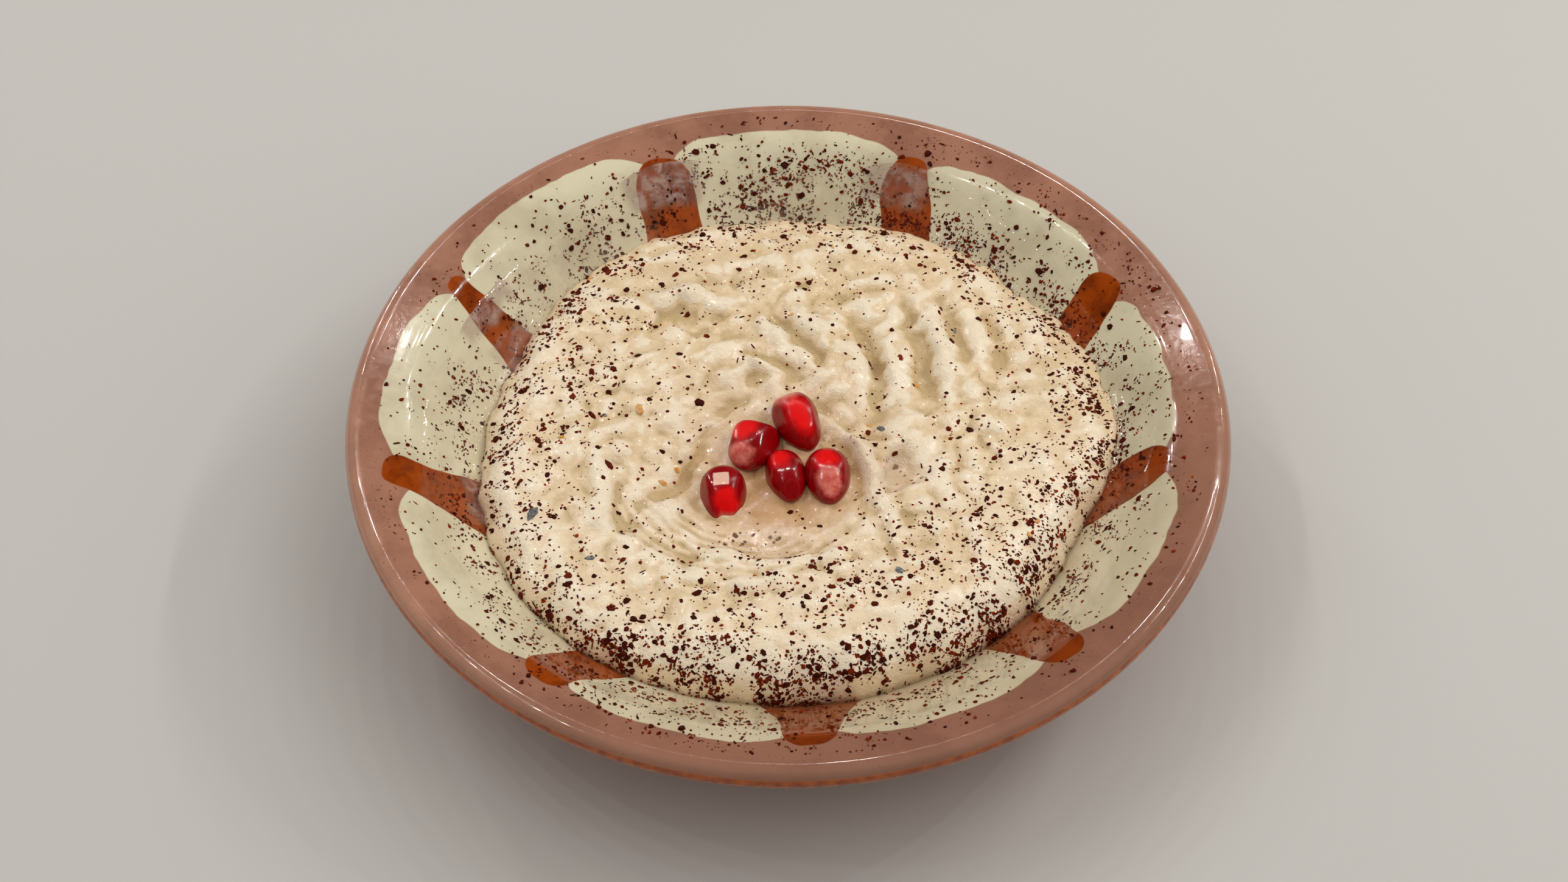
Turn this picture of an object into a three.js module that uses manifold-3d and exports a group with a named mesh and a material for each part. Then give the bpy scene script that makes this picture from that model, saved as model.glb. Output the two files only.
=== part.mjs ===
// A glazed pottery plate filled with a pale aubergine dip: a dished plate on a foot ring, the dip with the
// ridges and the well that a spoon left in it, five pomegranate seeds sunk in the well, two small pools of
// oil, and flakes of sumac on the dip and the plate.
// Millimetres, +Z up, +Y away from the viewer. The origin is the middle of the foot, on the table.

import * as THREE from 'three';
import { mergeVertices } from 'three/addons/utils/BufferGeometryUtils.js';
import Module from 'manifold-3d';

// ---- plate ----
const PLATE_RADIUS = 82.5;
const PLATE_HEIGHT = 33;
const PLATE_THICKNESS = 5;
const LIP_RADIUS = PLATE_THICKNESS / 2;
const WALL_START = 49; // radius where the flat floor bends up into the wall
const WALL_SLOPE = 0.97;
const WALL_BEND = 1.8; // softness of that bend
const FLANGE_START = 72; // radius where the wall eases into the flange
const FLANGE_SLOPE = 0.33;
const FLANGE_BEND = 0.8;
const FOOT_OUTER = 46;
const FOOT_INNER = 41.5;
const FOOT_DRAFT = 0.5;
const PLATE_SECTORS = 72;
const LIP_TURNS = [-36, 0, 30, 60, 90]; // corners of the lip, in degrees, between the wall and the flange
// Where the inner profile bends: on the floor, up into the wall and out to the flange.
const FLOOR_RADII = [43, 46.5];
const WALL_RADII = [49.5, 53];
const FLANGE_RADII = [69, 71.5, 74];

// ---- dip ----
const GAP = 0.35; // clearance between pieces that touch
const DIP_SECTORS = 84;
// Radius of the dip's edge every 20 degrees, from +X by way of +Y.
const DIP_REACH = [
  62.4, 62.9, 61.3, 61.8, 60.8, 60.6, 61.2, 59.8, 58.2,
  58.4, 59.8, 60.2, 59.5, 56.8, 56.2, 56.4, 57.2, 57.6,
];
const DIP_EDGE = 0.8; // thickness where the dip ends on the wall
const DIP_LEVEL = 23; // height of the middle of the dip, before it was hollowed
const DIP_TILT = 0.026; // the near side stands higher than the far side
const SHOULDER_WIDTH = 9; // the rounded slope inside the edge
const SHOULDER_POWER = 1.7;
const WELL = { x: -5, y: -9, rx: 23, ry: 20, depth: 3.0 };
// Rings of the dip's skin, as shares of its reach: close on the shoulder, then evenly to the middle.
const SHOULDER_RINGS = [1, 0.988, 0.97, 0.945, 0.915, 0.88];
const INNER_RINGS = 20;
const INNER_SHARE = 0.84;

// Gentle unevenness of a thick paste: crossing waves, each with its rate along x and y and its start.
const BROAD_WAVES = [[0.31, 0.17, 1.1], [-0.13, 0.36, 4.0]];
const BROAD_HEIGHT = 0.22;
const SHORT_WAVES = [[0.62, -0.41, 0.6], [0.35, 0.73, 2.3]];
const SHORT_HEIGHT = 0.2;

const MARK_SPREAD = 1.2; // the marks are a little softer here than in the real paste, to suit the facets

// Marks of the spoon: from x, y to x, y, half width, height. A groove has a negative height.
const SPOON_MARKS = [
  // flutes on the far right, from left to right
  [-8, 23, 2, 14, 1.8, -1.2],
  [-5, 30, 3.5, 19, 2.4, 1.5],
  [-1, 31, 5.5, 19.5, 1.6, -1.9],
  [4, 28, 11, 20, 3.6, 1.0],
  [14.5, 30, 17.5, 20, 1.7, -1.7],
  [17.5, 20, 17, 10, 1.7, -1.9],
  [19.5, 30, 21.5, 11, 2.6, 0.9],
  [22.5, 36, 28.5, 10, 1.8, -1.9],
  [28, 34, 31, 11, 2.2, 1.1],
  [31.5, 35, 34.5, 20, 1.7, -1.0],
  [36, 32, 37, 21, 2.0, 0.7],
  [39.5, 31, 41.5, 19, 1.9, -0.7],
  [41.5, 19, 37, 9, 1.9, -0.6],
  // ledges on the far left
  [-26, 35, -20, 37, 2.0, 0.9],
  [-20, 37, -12, 35, 2.0, 0.9],
  [-23, 32, -15, 32, 2.4, -0.8],
  [-14, 46, -3, 45.5, 2.2, 0.6],
  [-12, 42, -4, 42, 2.2, -0.6],
  [-16, 28, -11, 28, 1.9, -0.9],
  // the curl beside the seeds and the creases round it
  [-9.5, 16, -6, 19, 1.7, 1.1],
  [-6, 19, -2.5, 17, 1.7, 1.1],
  [-2.5, 17, -2, 13.5, 1.7, 1.0],
  [-16, 6, -8, 10.5, 1.3, -0.9],
  [5, 9, 12, 3, 1.5, -0.9],
  // the wall on the right of the well
  [7, 5.5, 13, -1, 2.1, 1.2],
  [13, -1, 16, -10, 2.1, 1.3],
  [16, -10, 18.5, -19, 2.1, 1.0],
  // the sweep round the near left of the well
  [-15.5, 0, -19, -7, 1.9, -1.0],
  [-19, -7, -30, -20, 1.9, -1.5],
  [-36, -10, -35, -20, 2.6, 1.0],
  [-35, -20, -20, -33.5, 2.6, 1.1],
  [-32, -14, -31, -21, 2.3, -0.9],
  [-31, -21, -22, -28, 2.3, -0.9],
  [-12, -36, -2, -33, 1.7, 0.8],
  [-2, -33, 10, -28, 1.7, 0.8],
  [-20, -35, -12, -37, 1.3, -0.6],
  [17, -22, 18, -29, 1.8, -0.7],
];

// Lumps and dents: x, y, half width, height.
const LUMPS = [
  [5.3, 15, 2.2, 1.0],
  [-7.5, 15, 2.8, -0.8],
  [9, 47, 4, -0.7],
  [9, 37, 4, -0.7],
  [17, 4.5, 3.2, -1.2],
  [23, -1, 4, 1.0],
  [-5, 7.5, 3, 0.6],
  [-22, -17, 3.4, 1.0],
  [-18.5, -29, 2.2, -1.4],
  [-11, -27.5, 2.8, 0.9],
  [22, -20.5, 1.8, -0.8],
];

// Pools of oil: middle, half lengths, the depth of the hollow, and how far below its brim the oil stands.
const POOLS = [
  { name: 'oil_pool_near', x: -3.5, y: -25.5, rx: 7.2, ry: 3.6, hollow: 1.9, below: 0.5 },
  { name: 'oil_pool_right', x: 21.8, y: -9, rx: 3.6, ry: 4.3, hollow: 2.1, below: 0.6 },
];
const POOL_FILL = 0.78; // share of the hollow's half lengths that the oil covers
const POOL_COLUMN = 6; // height of the column that the oil is cut from
const POOL_SECTORS = 28;

// ---- seeds ----
// Middle of each seed, its length, width and thickness, its turn from +Y and its tilt, in degrees.
const SEEDS = [
  { name: 'seed_far', x: 1.9, y: 3.7, z: 22.6, size: [13.8, 8.6, 7.8], turn: 20, tilt: 4 },
  { name: 'seed_left', x: -7.0, y: -1.4, z: 21.9, size: [12.2, 9.0, 7.4], turn: -17, tilt: -3 },
  { name: 'seed_near', x: -12.2, y: -13.4, z: 21.5, size: [11.8, 8.6, 7.6], turn: 3, tilt: 12 },
  { name: 'seed_middle', x: -0.3, y: -9.0, z: 21.3, size: [11.4, 7.0, 7.0], turn: 12, tilt: -4 },
  { name: 'seed_right', x: 7.5, y: -9.2, z: 21.8, size: [12.8, 8.4, 7.6], turn: 4, tilt: -3 },
];
const SEED_SIDES = 5; // flattened sides, pressed by the neighbours it grew among
const SEED_FLATNESS = 0.45;
const SEED_TAPER = 0.16;
const SEED_RINGS = 9;
const SEED_SECTORS = 14;

// ---- sumac ----
// The largest flakes on the dip: x, y, length, width, turn from +X in degrees.
const LARGE_FLAKES = [
  [-17, 9.6, 2.9, 2.3, -20],
  [-33.3, -7, 3.0, 1.7, 80],
  [-37.3, 5, 2.4, 1.2, 110],
  [-40, -12.8, 2.5, 0.8, -50],
  [-32, -41, 2.4, 1.5, 0],
  [-26, -44, 3.0, 1.0, 10],
  [-17, -37.8, 2.7, 1.1, -25],
  [7.5, -37, 2.6, 1.4, 0],
  [-22.3, 44, 2.5, 1.3, -50],
  [22, -47.4, 3.0, 0.9, 88],
  [28.5, -40, 2.3, 1.1, 80],
  [27, 51.5, 2.1, 1.0, 60],
  [46.7, 17, 2.0, 1.1, 100],
  [20, -2.6, 1.8, 1.2, -40],
];
const DIP_FLAKES = 150;
const PLATE_FLAKES = 44;
const FLAKE_LENGTHS = [2.1, 1.0]; // of the drawn flakes, from the first to the last
const FLAKE_WIDTH = 0.68; // share of the length
const FLAKE_THICKNESS = 0.42;
const FLAKE_SINK = 0.12; // share of the thickness that lies below the surface's plane, beyond the middle
const FLAKE_JITTER = 0.16;
const FLAKE_SPACING = 2.4;
const PLATE_FLAKE_REACH = 69; // the flakes on the plate lie on its wall, inside this radius
const EDGE_CLEARANCE = 2.1; // between a flake and the edge of the dip, on either side of it
const SEED_CLEARANCE = 1.5;
const POOL_CLEARANCE = 1.15; // as a share of the pool's half lengths
// How thickly the flakes fall: on the dip most of all along its rim and on the near side.
const DIP_SUMAC = { everywhere: 0.1, rimStart: 30, rimFull: 50, rim: 0.18, near: 0.72, left: 0.32 };
// On the plate they lie along the dip's edge, more on the side that the angle names, in radians.
const PLATE_SUMAC = { everywhere: 0.35, side: 0.65, sideAngle: 1.2 };
const PLATE_DRAW = 11; // where each draw of flakes starts in the random numbers
const DIP_DRAW = 5;

const FINISHES = {
  plate: { color: 0xa56b58, roughness: 0.3 },
  dip: { color: 0xe9dcbf, roughness: 0.4 },
  seed: { color: 0x9c0f1c, roughness: 0.12 },
  oil: { color: 0xd8c789, roughness: 0.1 },
};
const WELD_TOLERANCE = 1e-4;

const wasm = await Module();
wasm.setup();

// ---- shared geometry helpers ----

function seededRandom(seed) {
  let state = seed;
  return () => {
    state = (state + 0x6d2b79f5) | 0;
    let mixed = Math.imul(state ^ (state >>> 15), 1 | state);
    mixed = (mixed + Math.imul(mixed ^ (mixed >>> 7), 61 | mixed)) ^ mixed;
    return ((mixed ^ (mixed >>> 14)) >>> 0) / 4294967296;
  };
}

function smoothstep(low, high, value) {
  const share = Math.min(Math.max((value - low) / (high - low), 0), 1);
  return share * share * (3 - 2 * share);
}

// Only the positions, with shared corners merged and flat triangles dropped.
function weld(geometry) {
  const bare = geometry.clone();
  bare.deleteAttribute('normal');
  bare.deleteAttribute('uv');
  const merged = mergeVertices(bare, WELD_TOLERANCE);
  const kept = [];
  for (let corner = 0; corner < merged.index.count; corner += 3) {
    const [a, b, c] = [0, 1, 2].map((step) => merged.index.getX(corner + step));
    if (a !== b && b !== c && c !== a) kept.push(a, b, c);
  }
  merged.setIndex(kept);
  return merged;
}

function toSolid(geometry) {
  const welded = weld(geometry);
  return new wasm.Manifold(new wasm.Mesh({
    numProp: 3,
    vertProperties: new Float32Array(welded.attributes.position.array),
    triVerts: new Uint32Array(welded.index.array),
  }));
}

function toGeometry(solid) {
  const { vertProperties, triVerts } = solid.getMesh();
  const geometry = new THREE.BufferGeometry();
  geometry.setAttribute('position', new THREE.BufferAttribute(new Float32Array(vertProperties), 3));
  geometry.setIndex(new THREE.BufferAttribute(new Uint32Array(triVerts), 1));
  geometry.computeVertexNormals();
  return geometry;
}

// A cut or a join can leave loose crumbs: only the largest body is kept.
function largestBody(solid) {
  const bodies = solid.decompose();
  return bodies.reduce((best, body) => (body.volume() > best.volume() ? body : best));
}

function makeMesh(name, geometry, finish) {
  const mesh = new THREE.Mesh(geometry, new THREE.MeshStandardMaterial({ ...finish, metalness: 0 }));
  mesh.name = name;
  return mesh;
}

// ---- plate ----

// 0 well before the bend and the distance past it well after, with a soft turn between.
function bend(distance, softness) {
  return softness * Math.log1p(Math.exp(distance / softness));
}

function plateRise(radius) {
  const wall = WALL_SLOPE * bend(radius - WALL_START, WALL_BEND);
  const easing = (WALL_SLOPE - FLANGE_SLOPE) * bend(radius - FLANGE_START, FLANGE_BEND);
  return wall - easing;
}

function plateSlope(radius) {
  const step = 0.01;
  return (plateRise(radius + step) - plateRise(radius - step)) / (2 * step);
}

// The lip is a round bead that the flange runs into, and the floor's height follows from it.
const LIP_CENTRE = new THREE.Vector2(PLATE_RADIUS - LIP_RADIUS, PLATE_HEIGHT - LIP_RADIUS);
const LIP_ANGLE = Math.PI / 2 + Math.atan(FLANGE_SLOPE);
const FLANGE_END = LIP_CENTRE.x + LIP_RADIUS * Math.cos(LIP_ANGLE);
const PLATE_FLOOR = LIP_CENTRE.y + LIP_RADIUS * Math.sin(LIP_ANGLE) - plateRise(FLANGE_END);

function plateTop(radius) {
  return PLATE_FLOOR + plateRise(radius);
}

// The point under the inner surface, one wall thickness along its normal.
function plateUnder(radius) {
  const slope = plateSlope(radius);
  const across = PLATE_THICKNESS / Math.hypot(1, slope);
  return new THREE.Vector2(radius + slope * across, plateTop(radius) - across);
}

function plateProfile() {
  const underside = PLATE_FLOOR - PLATE_THICKNESS;
  const profile = [
    new THREE.Vector2(0, underside),
    new THREE.Vector2(FOOT_INNER, underside),
    new THREE.Vector2(FOOT_INNER + FOOT_DRAFT, 0),
    new THREE.Vector2(FOOT_OUTER - FOOT_DRAFT, 0),
    new THREE.Vector2(FOOT_OUTER, underside),
  ];
  for (const radius of [...WALL_RADII, ...FLANGE_RADII]) profile.push(plateUnder(radius));
  for (const angle of [LIP_ANGLE - Math.PI, ...LIP_TURNS.map(THREE.MathUtils.degToRad), LIP_ANGLE]) {
    const bead = new THREE.Vector2(Math.cos(angle), Math.sin(angle)).multiplyScalar(LIP_RADIUS);
    profile.push(bead.add(LIP_CENTRE));
  }
  const inward = [...FLOOR_RADII, ...WALL_RADII, ...FLANGE_RADII].reverse();
  for (const radius of inward) profile.push(new THREE.Vector2(radius, plateTop(radius)));
  profile.push(new THREE.Vector2(0, PLATE_FLOOR));
  return profile;
}

function plateBody() {
  return new THREE.LatheGeometry(plateProfile(), PLATE_SECTORS).rotateX(Math.PI / 2);
}

// ---- dip ----

// Smooth closed curve through the edge radii: a Catmull-Rom spline over the angle.
function dipReach(angle) {
  const count = DIP_REACH.length;
  const place = (angle / (2 * Math.PI) + 1) * count;
  const start = Math.floor(place);
  const t = place - start;
  const [before, from, to, after] = [-1, 0, 1, 2].map((step) => DIP_REACH[(start + step + count) % count]);
  const straight = 2 * from + (to - before) * t;
  const curve = (2 * before - 5 * from + 4 * to - after) * t ** 2;
  const twist = (3 * from - before - 3 * to + after) * t ** 3;
  return (straight + curve + twist) / 2;
}

function distanceToSegment(x, y, x0, y0, x1, y1) {
  const along = ((x - x0) * (x1 - x0) + (y - y0) * (y1 - y0)) / ((x1 - x0) ** 2 + (y1 - y0) ** 2);
  const share = Math.min(Math.max(along, 0), 1);
  return Math.hypot(x - x0 - share * (x1 - x0), y - y0 - share * (y1 - y0));
}

function poolDistance(pool, x, y) {
  return Math.hypot((x - pool.x) / pool.rx, (y - pool.y) / pool.ry);
}

function spoonRelief(x, y) {
  let height = 0;
  for (const [x0, y0, x1, y1, width, rise] of SPOON_MARKS) {
    const distance = distanceToSegment(x, y, x0, y0, x1, y1);
    height += rise * Math.exp(-((distance / (MARK_SPREAD * width)) ** 2));
  }
  for (const [lumpX, lumpY, width, rise] of LUMPS) {
    height += rise * Math.exp(-((Math.hypot(x - lumpX, y - lumpY) / width) ** 2));
  }
  for (const pool of POOLS) {
    height -= pool.hollow * Math.exp(-(poolDistance(pool, x, y) ** 4));
  }
  return height;
}

function pasteWaves(x, y) {
  const wave = ([alongX, alongY, start]) => Math.sin(alongX * x + alongY * y + start);
  const [broadA, broadB] = BROAD_WAVES.map(wave);
  const [shortA, shortB] = SHORT_WAVES.map(wave);
  return BROAD_HEIGHT * (broadA + broadB) + SHORT_HEIGHT * shortA * shortB;
}

function dipSurface(x, y) {
  const radius = Math.hypot(x, y);
  const reach = dipReach(Math.atan2(y, x));
  const wellDistance = Math.hypot((x - WELL.x) / WELL.rx, (y - WELL.y) / WELL.ry);
  const full = DIP_LEVEL - DIP_TILT * y - WELL.depth * Math.exp(-(wellDistance ** 3))
    + spoonRelief(x, y) + pasteWaves(x, y);
  const edge = plateTop(reach) + GAP + DIP_EDGE;
  const inward = Math.min(Math.max((reach - radius) / SHOULDER_WIDTH, 0), 1);
  const shoulder = (1 - (1 - inward) ** SHOULDER_POWER) ** (1 / SHOULDER_POWER);
  return edge + (full - edge) * shoulder;
}

function topRingShares() {
  const shares = [...SHOULDER_RINGS];
  for (let ring = INNER_RINGS; ring > 0; ring--) shares.push((INNER_SHARE * ring) / INNER_RINGS);
  return shares;
}

// A closed skin of rings: up the underside from the middle to the edge, then over the top and back.
function dipBody() {
  const rings = [];
  for (const radius of [...FLOOR_RADII, ...WALL_RADII]) {
    rings.push(() => ({ radius, height: plateTop(radius) + GAP * Math.hypot(1, plateSlope(radius)) }));
  }
  rings.push((reach) => ({ radius: reach, height: plateTop(reach) + GAP * Math.hypot(1, WALL_SLOPE) }));
  for (const share of topRingShares()) rings.push((reach) => ({ radius: share * reach }));

  const positions = [0, 0, PLATE_FLOOR + GAP];
  for (const ring of rings) {
    for (let sector = 0; sector < DIP_SECTORS; sector++) {
      const angle = (2 * Math.PI * sector) / DIP_SECTORS;
      const { radius, height } = ring(dipReach(angle));
      const [x, y] = [radius * Math.cos(angle), radius * Math.sin(angle)];
      positions.push(x, y, height ?? dipSurface(x, y));
    }
  }
  positions.push(0, 0, dipSurface(0, 0));

  const index = [];
  const top = positions.length / 3 - 1;
  const corner = (ring, sector) => 1 + ring * DIP_SECTORS + (sector % DIP_SECTORS);
  for (let sector = 0; sector < DIP_SECTORS; sector++) {
    index.push(0, corner(0, sector + 1), corner(0, sector));
    for (let ring = 0; ring < rings.length - 1; ring++) {
      const [a, b] = [corner(ring, sector), corner(ring, sector + 1)];
      const [c, d] = [corner(ring + 1, sector), corner(ring + 1, sector + 1)];
      const heightOf = (place) => positions[3 * place + 2];
      // Each quad folds along the diagonal that follows a ridge or a groove.
      const along = Math.abs(heightOf(a) - heightOf(d)) < Math.abs(heightOf(b) - heightOf(c));
      index.push(...(along ? [a, b, d, a, d, c] : [a, b, c, b, d, c]));
    }
    index.push(corner(rings.length - 1, sector), corner(rings.length - 1, sector + 1), top);
  }
  const geometry = new THREE.BufferGeometry();
  geometry.setAttribute('position', new THREE.Float32BufferAttribute(positions, 3));
  geometry.setIndex(index);
  return geometry;
}

// ---- seeds ----

// A rounded, tapered bean with flattened sides, its length along Y.
function seedGeometry([length, width, thickness], grow = 0) {
  const geometry = new THREE.SphereGeometry(1, SEED_SECTORS, SEED_RINGS);
  const position = geometry.attributes.position;
  const side = (2 * Math.PI) / SEED_SIDES;
  for (let corner = 0; corner < position.count; corner++) {
    const [x, y, z] = [position.getX(corner), position.getY(corner), position.getZ(corner)];
    const around = (((Math.atan2(z, x) + 2 * Math.PI) % side) - side / 2);
    const polygon = Math.cos(side / 2) / Math.cos(around);
    const flat = 1 - SEED_FLATNESS + SEED_FLATNESS * polygon;
    const taper = 1 + SEED_TAPER * y;
    position.setXYZ(
      corner,
      x * flat * taper * (width / 2 + grow),
      y * (length / 2 + grow),
      z * flat * taper * (thickness / 2 + grow),
    );
  }
  geometry.computeVertexNormals();
  return geometry;
}

function seedMesh(seed) {
  const mesh = makeMesh(seed.name, seedGeometry(seed.size), FINISHES.seed);
  mesh.position.set(seed.x, seed.y, seed.z);
  mesh.rotation.order = 'ZXY';
  mesh.rotation.set(THREE.MathUtils.degToRad(seed.tilt), 0, THREE.MathUtils.degToRad(seed.turn));
  mesh.updateMatrix();
  return mesh;
}

function seedCutter(mesh, seed) {
  return toSolid(seedGeometry(seed.size, GAP).applyMatrix4(mesh.matrix));
}

// ---- sumac ----

// The point of a surface that lies under x, y, and the way it faces.
function surfaceUnder(mesh, x, y) {
  const ray = new THREE.Raycaster(new THREE.Vector3(x, y, 2 * PLATE_HEIGHT), new THREE.Vector3(0, 0, -1));
  const [hit] = ray.intersectObject(mesh);
  return { point: hit.point, normal: hit.face.normal };
}

// An irregular chip of eight faces.
function flakeGeometry(length, width, random) {
  const geometry = weld(new THREE.OctahedronGeometry(1, 0));
  const position = geometry.attributes.position;
  const jitter = () => 1 + FLAKE_JITTER * (2 * random() - 1);
  for (let corner = 0; corner < position.count; corner++) {
    position.setXYZ(
      corner,
      (position.getX(corner) * jitter() * length) / 2,
      (position.getY(corner) * jitter() * width) / 2,
      (position.getZ(corner) * jitter() * length * FLAKE_THICKNESS) / 2,
    );
  }
  return geometry;
}

function layFlake(mesh, [x, y, length, width, turn], random) {
  const { point, normal } = surfaceUnder(mesh, x, y);
  const geometry = flakeGeometry(length, width, random);
  geometry.rotateZ(THREE.MathUtils.degToRad(turn));
  geometry.applyQuaternion(new THREE.Quaternion().setFromUnitVectors(new THREE.Vector3(0, 0, 1), normal));
  const lift = -FLAKE_SINK * length * FLAKE_THICKNESS;
  geometry.translate(point.x + normal.x * lift, point.y + normal.y * lift, point.z + normal.z * lift);
  return toSolid(geometry);
}

function dipSumacShare(x, y) {
  const radius = Math.hypot(x, y);
  const { everywhere, rimStart, rimFull, rim, near, left } = DIP_SUMAC;
  const sides = rim + near * Math.max(-y / radius, 0) + left * Math.max(-x / radius, 0);
  return everywhere + smoothstep(rimStart, rimFull, radius) * sides;
}

function plateSumacShare(x, y) {
  const { everywhere, side, sideAngle } = PLATE_SUMAC;
  return everywhere + side * Math.max(Math.cos(Math.atan2(y, x) - sideAngle), 0);
}

function clearOfSeeds(x, y) {
  return SEEDS.every((seed) => Math.hypot(x - seed.x, y - seed.y) > seed.size[0] / 2 + SEED_CLEARANCE);
}

function clearOfPools(x, y) {
  return POOLS.every((pool) => poolDistance(pool, x, y) > POOL_CLEARANCE);
}

function onDip(x, y) {
  const inside = Math.hypot(x, y) < dipReach(Math.atan2(y, x)) - EDGE_CLEARANCE;
  return inside && clearOfSeeds(x, y) && clearOfPools(x, y);
}

function onPlate(x, y) {
  const radius = Math.hypot(x, y);
  return radius > dipReach(Math.atan2(y, x)) + EDGE_CLEARANCE && radius < PLATE_FLAKE_REACH;
}

// Draws flakes from the largest to the smallest, apart from each other, where the share lets them fall.
function drawFlakes(count, allowed, share, random, taken = []) {
  const flakes = [];
  while (flakes.length < count) {
    const [x, y] = [PLATE_RADIUS * (2 * random() - 1), PLATE_RADIUS * (2 * random() - 1)];
    const apart = [...taken, ...flakes].every(([fx, fy]) => Math.hypot(x - fx, y - fy) > FLAKE_SPACING);
    if (!allowed(x, y) || !apart || random() > share(x, y)) continue;
    const progress = Math.sqrt(flakes.length / count);
    const length = FLAKE_LENGTHS[0] + (FLAKE_LENGTHS[1] - FLAKE_LENGTHS[0]) * progress;
    flakes.push([x, y, length, length * FLAKE_WIDTH, 180 * random()]);
  }
  return flakes;
}

function fuseFlakes(body, flakes, random) {
  const carrier = new THREE.Mesh(toGeometry(body));
  const chips = flakes.map((flake) => layFlake(carrier, flake, random));
  return largestBody(wasm.Manifold.union([body, ...chips]));
}

// ---- oil ----

// Oil fills the bottom of a hollow up to a level brim, a gap above the dip.
function poolGeometry(pool, dip) {
  const brim = dipSurface(pool.x, pool.y) + pool.hollow - pool.below;
  const column = new THREE.CylinderGeometry(1, 1, POOL_COLUMN, POOL_SECTORS).rotateX(Math.PI / 2);
  column.scale(pool.rx * POOL_FILL, pool.ry * POOL_FILL, 1);
  column.translate(pool.x, pool.y, brim - POOL_COLUMN / 2);
  return toGeometry(largestBody(toSolid(column).subtract(dip.translate([0, 0, GAP]))));
}

// ---- the dish ----

const dish = new THREE.Group();

const plateRandom = seededRandom(PLATE_DRAW);
const plateFlakes = drawFlakes(PLATE_FLAKES, onPlate, plateSumacShare, plateRandom);
const plateSolid = fuseFlakes(toSolid(plateBody()), plateFlakes, plateRandom);
dish.add(makeMesh('plate', toGeometry(plateSolid), FINISHES.plate));

const seedMeshes = SEEDS.map(seedMesh);
const cutters = SEEDS.map((seed, place) => seedCutter(seedMeshes[place], seed));
const bareDip = largestBody(wasm.Manifold.difference([toSolid(dipBody()), ...cutters]));
for (const pool of POOLS) dish.add(makeMesh(pool.name, poolGeometry(pool, bareDip), FINISHES.oil));

const dipRandom = seededRandom(DIP_DRAW);
const drawnFlakes = drawFlakes(DIP_FLAKES, onDip, dipSumacShare, dipRandom, LARGE_FLAKES);
const dipSolid = fuseFlakes(bareDip, [...LARGE_FLAKES, ...drawnFlakes], dipRandom);
dish.add(makeMesh('dip', toGeometry(dipSolid), FINISHES.dip));

for (const mesh of seedMeshes) dish.add(mesh);

export default dish;
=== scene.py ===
"""The finished look of a glazed pottery plate of aubergine dip, with pomegranate seeds, oil and sumac.

Shapes are worked out in millimetres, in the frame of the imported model, and become metres in add_piece().
"""

import math

import bmesh
import bpy
import numpy as np
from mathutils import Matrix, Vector


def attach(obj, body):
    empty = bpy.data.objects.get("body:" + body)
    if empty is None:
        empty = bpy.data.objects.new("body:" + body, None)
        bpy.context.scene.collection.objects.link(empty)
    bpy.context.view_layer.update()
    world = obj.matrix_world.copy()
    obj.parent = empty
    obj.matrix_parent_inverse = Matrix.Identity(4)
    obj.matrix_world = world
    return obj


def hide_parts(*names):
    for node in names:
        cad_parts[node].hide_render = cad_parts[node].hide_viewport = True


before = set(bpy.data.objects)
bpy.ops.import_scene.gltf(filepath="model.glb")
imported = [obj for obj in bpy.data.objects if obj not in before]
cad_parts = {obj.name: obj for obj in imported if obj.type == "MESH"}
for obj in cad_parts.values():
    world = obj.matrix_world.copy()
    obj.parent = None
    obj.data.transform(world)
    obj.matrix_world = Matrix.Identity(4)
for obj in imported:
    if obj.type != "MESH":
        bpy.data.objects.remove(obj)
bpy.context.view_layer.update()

MM = 0.001
TAU = 2 * math.pi
join = np.concatenate
RIPPLE_GAIN = 1.6  # brings the noise to about -1 to 1

# ---- plate, the same sizes as the solid ----
PLATE_RADIUS = 82.5
PLATE_HEIGHT = 33.0
PLATE_THICKNESS = 5.0
LIP_RADIUS = PLATE_THICKNESS / 2
WALL_START, WALL_SLOPE, WALL_BEND = 49.0, 0.97, 1.8
FLANGE_START, FLANGE_SLOPE, FLANGE_BEND = 72.0, 0.33, 0.8
FOOT_OUTER, FOOT_INNER = 46.0, 41.5
FOOT_DRAFT, FOOT_ROUNDING, FOOT_BEVEL = 0.5, 0.5, 0.3
PROFILE_MIDDLE = 20.0  # radius of the flat middle of the floor and of the underside
GLAZE_ENDS = 24.0  # where on the lip the painted side ends, in degrees above its outermost point
FULL_GLAZE = 5.0
PLATE_SECTORS = 560

# ---- dip ----
DIP_REACH = [
    62.4, 62.9, 61.3, 61.8, 60.8, 60.6, 61.2, 59.8, 58.2,
    58.4, 59.8, 60.2, 59.5, 56.8, 56.2, 56.4, 57.2, 57.6,
]  # radius of its edge every 20 degrees, from +X by way of +Y
MEAN_REACH = 60.0
DIP_LEVEL, DIP_TILT = 23.0, 0.026
DIP_UNDER_RADII = (53.0, 49.5, 46.5, 43.0)  # rings of its underside on the wall and the floor
SHOULDER_WIDTH, SHOULDER_POWER = 9.0, 1.7
WELL_X, WELL_Y, WELL_RX, WELL_RY, WELL_DEPTH = -5.0, -9.0, 23.0, 20.0, 3.0
MARK_FADES = 0.42  # how slowly a spoon mark runs out at its ends, against its sides
STREAK_DEPTH = 0.13
SEED_RISE = 0.55  # how far the paste climbs up a seed
# Juice soaked in round the seeds: y of its middle, half lengths, and how sharply it ends.
STAINS = [(-13, 15, 11, 3), (-4, 27, 24, 2)]
SUNK = 0.08  # how far the underside of a piece reaches into what carries it

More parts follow.
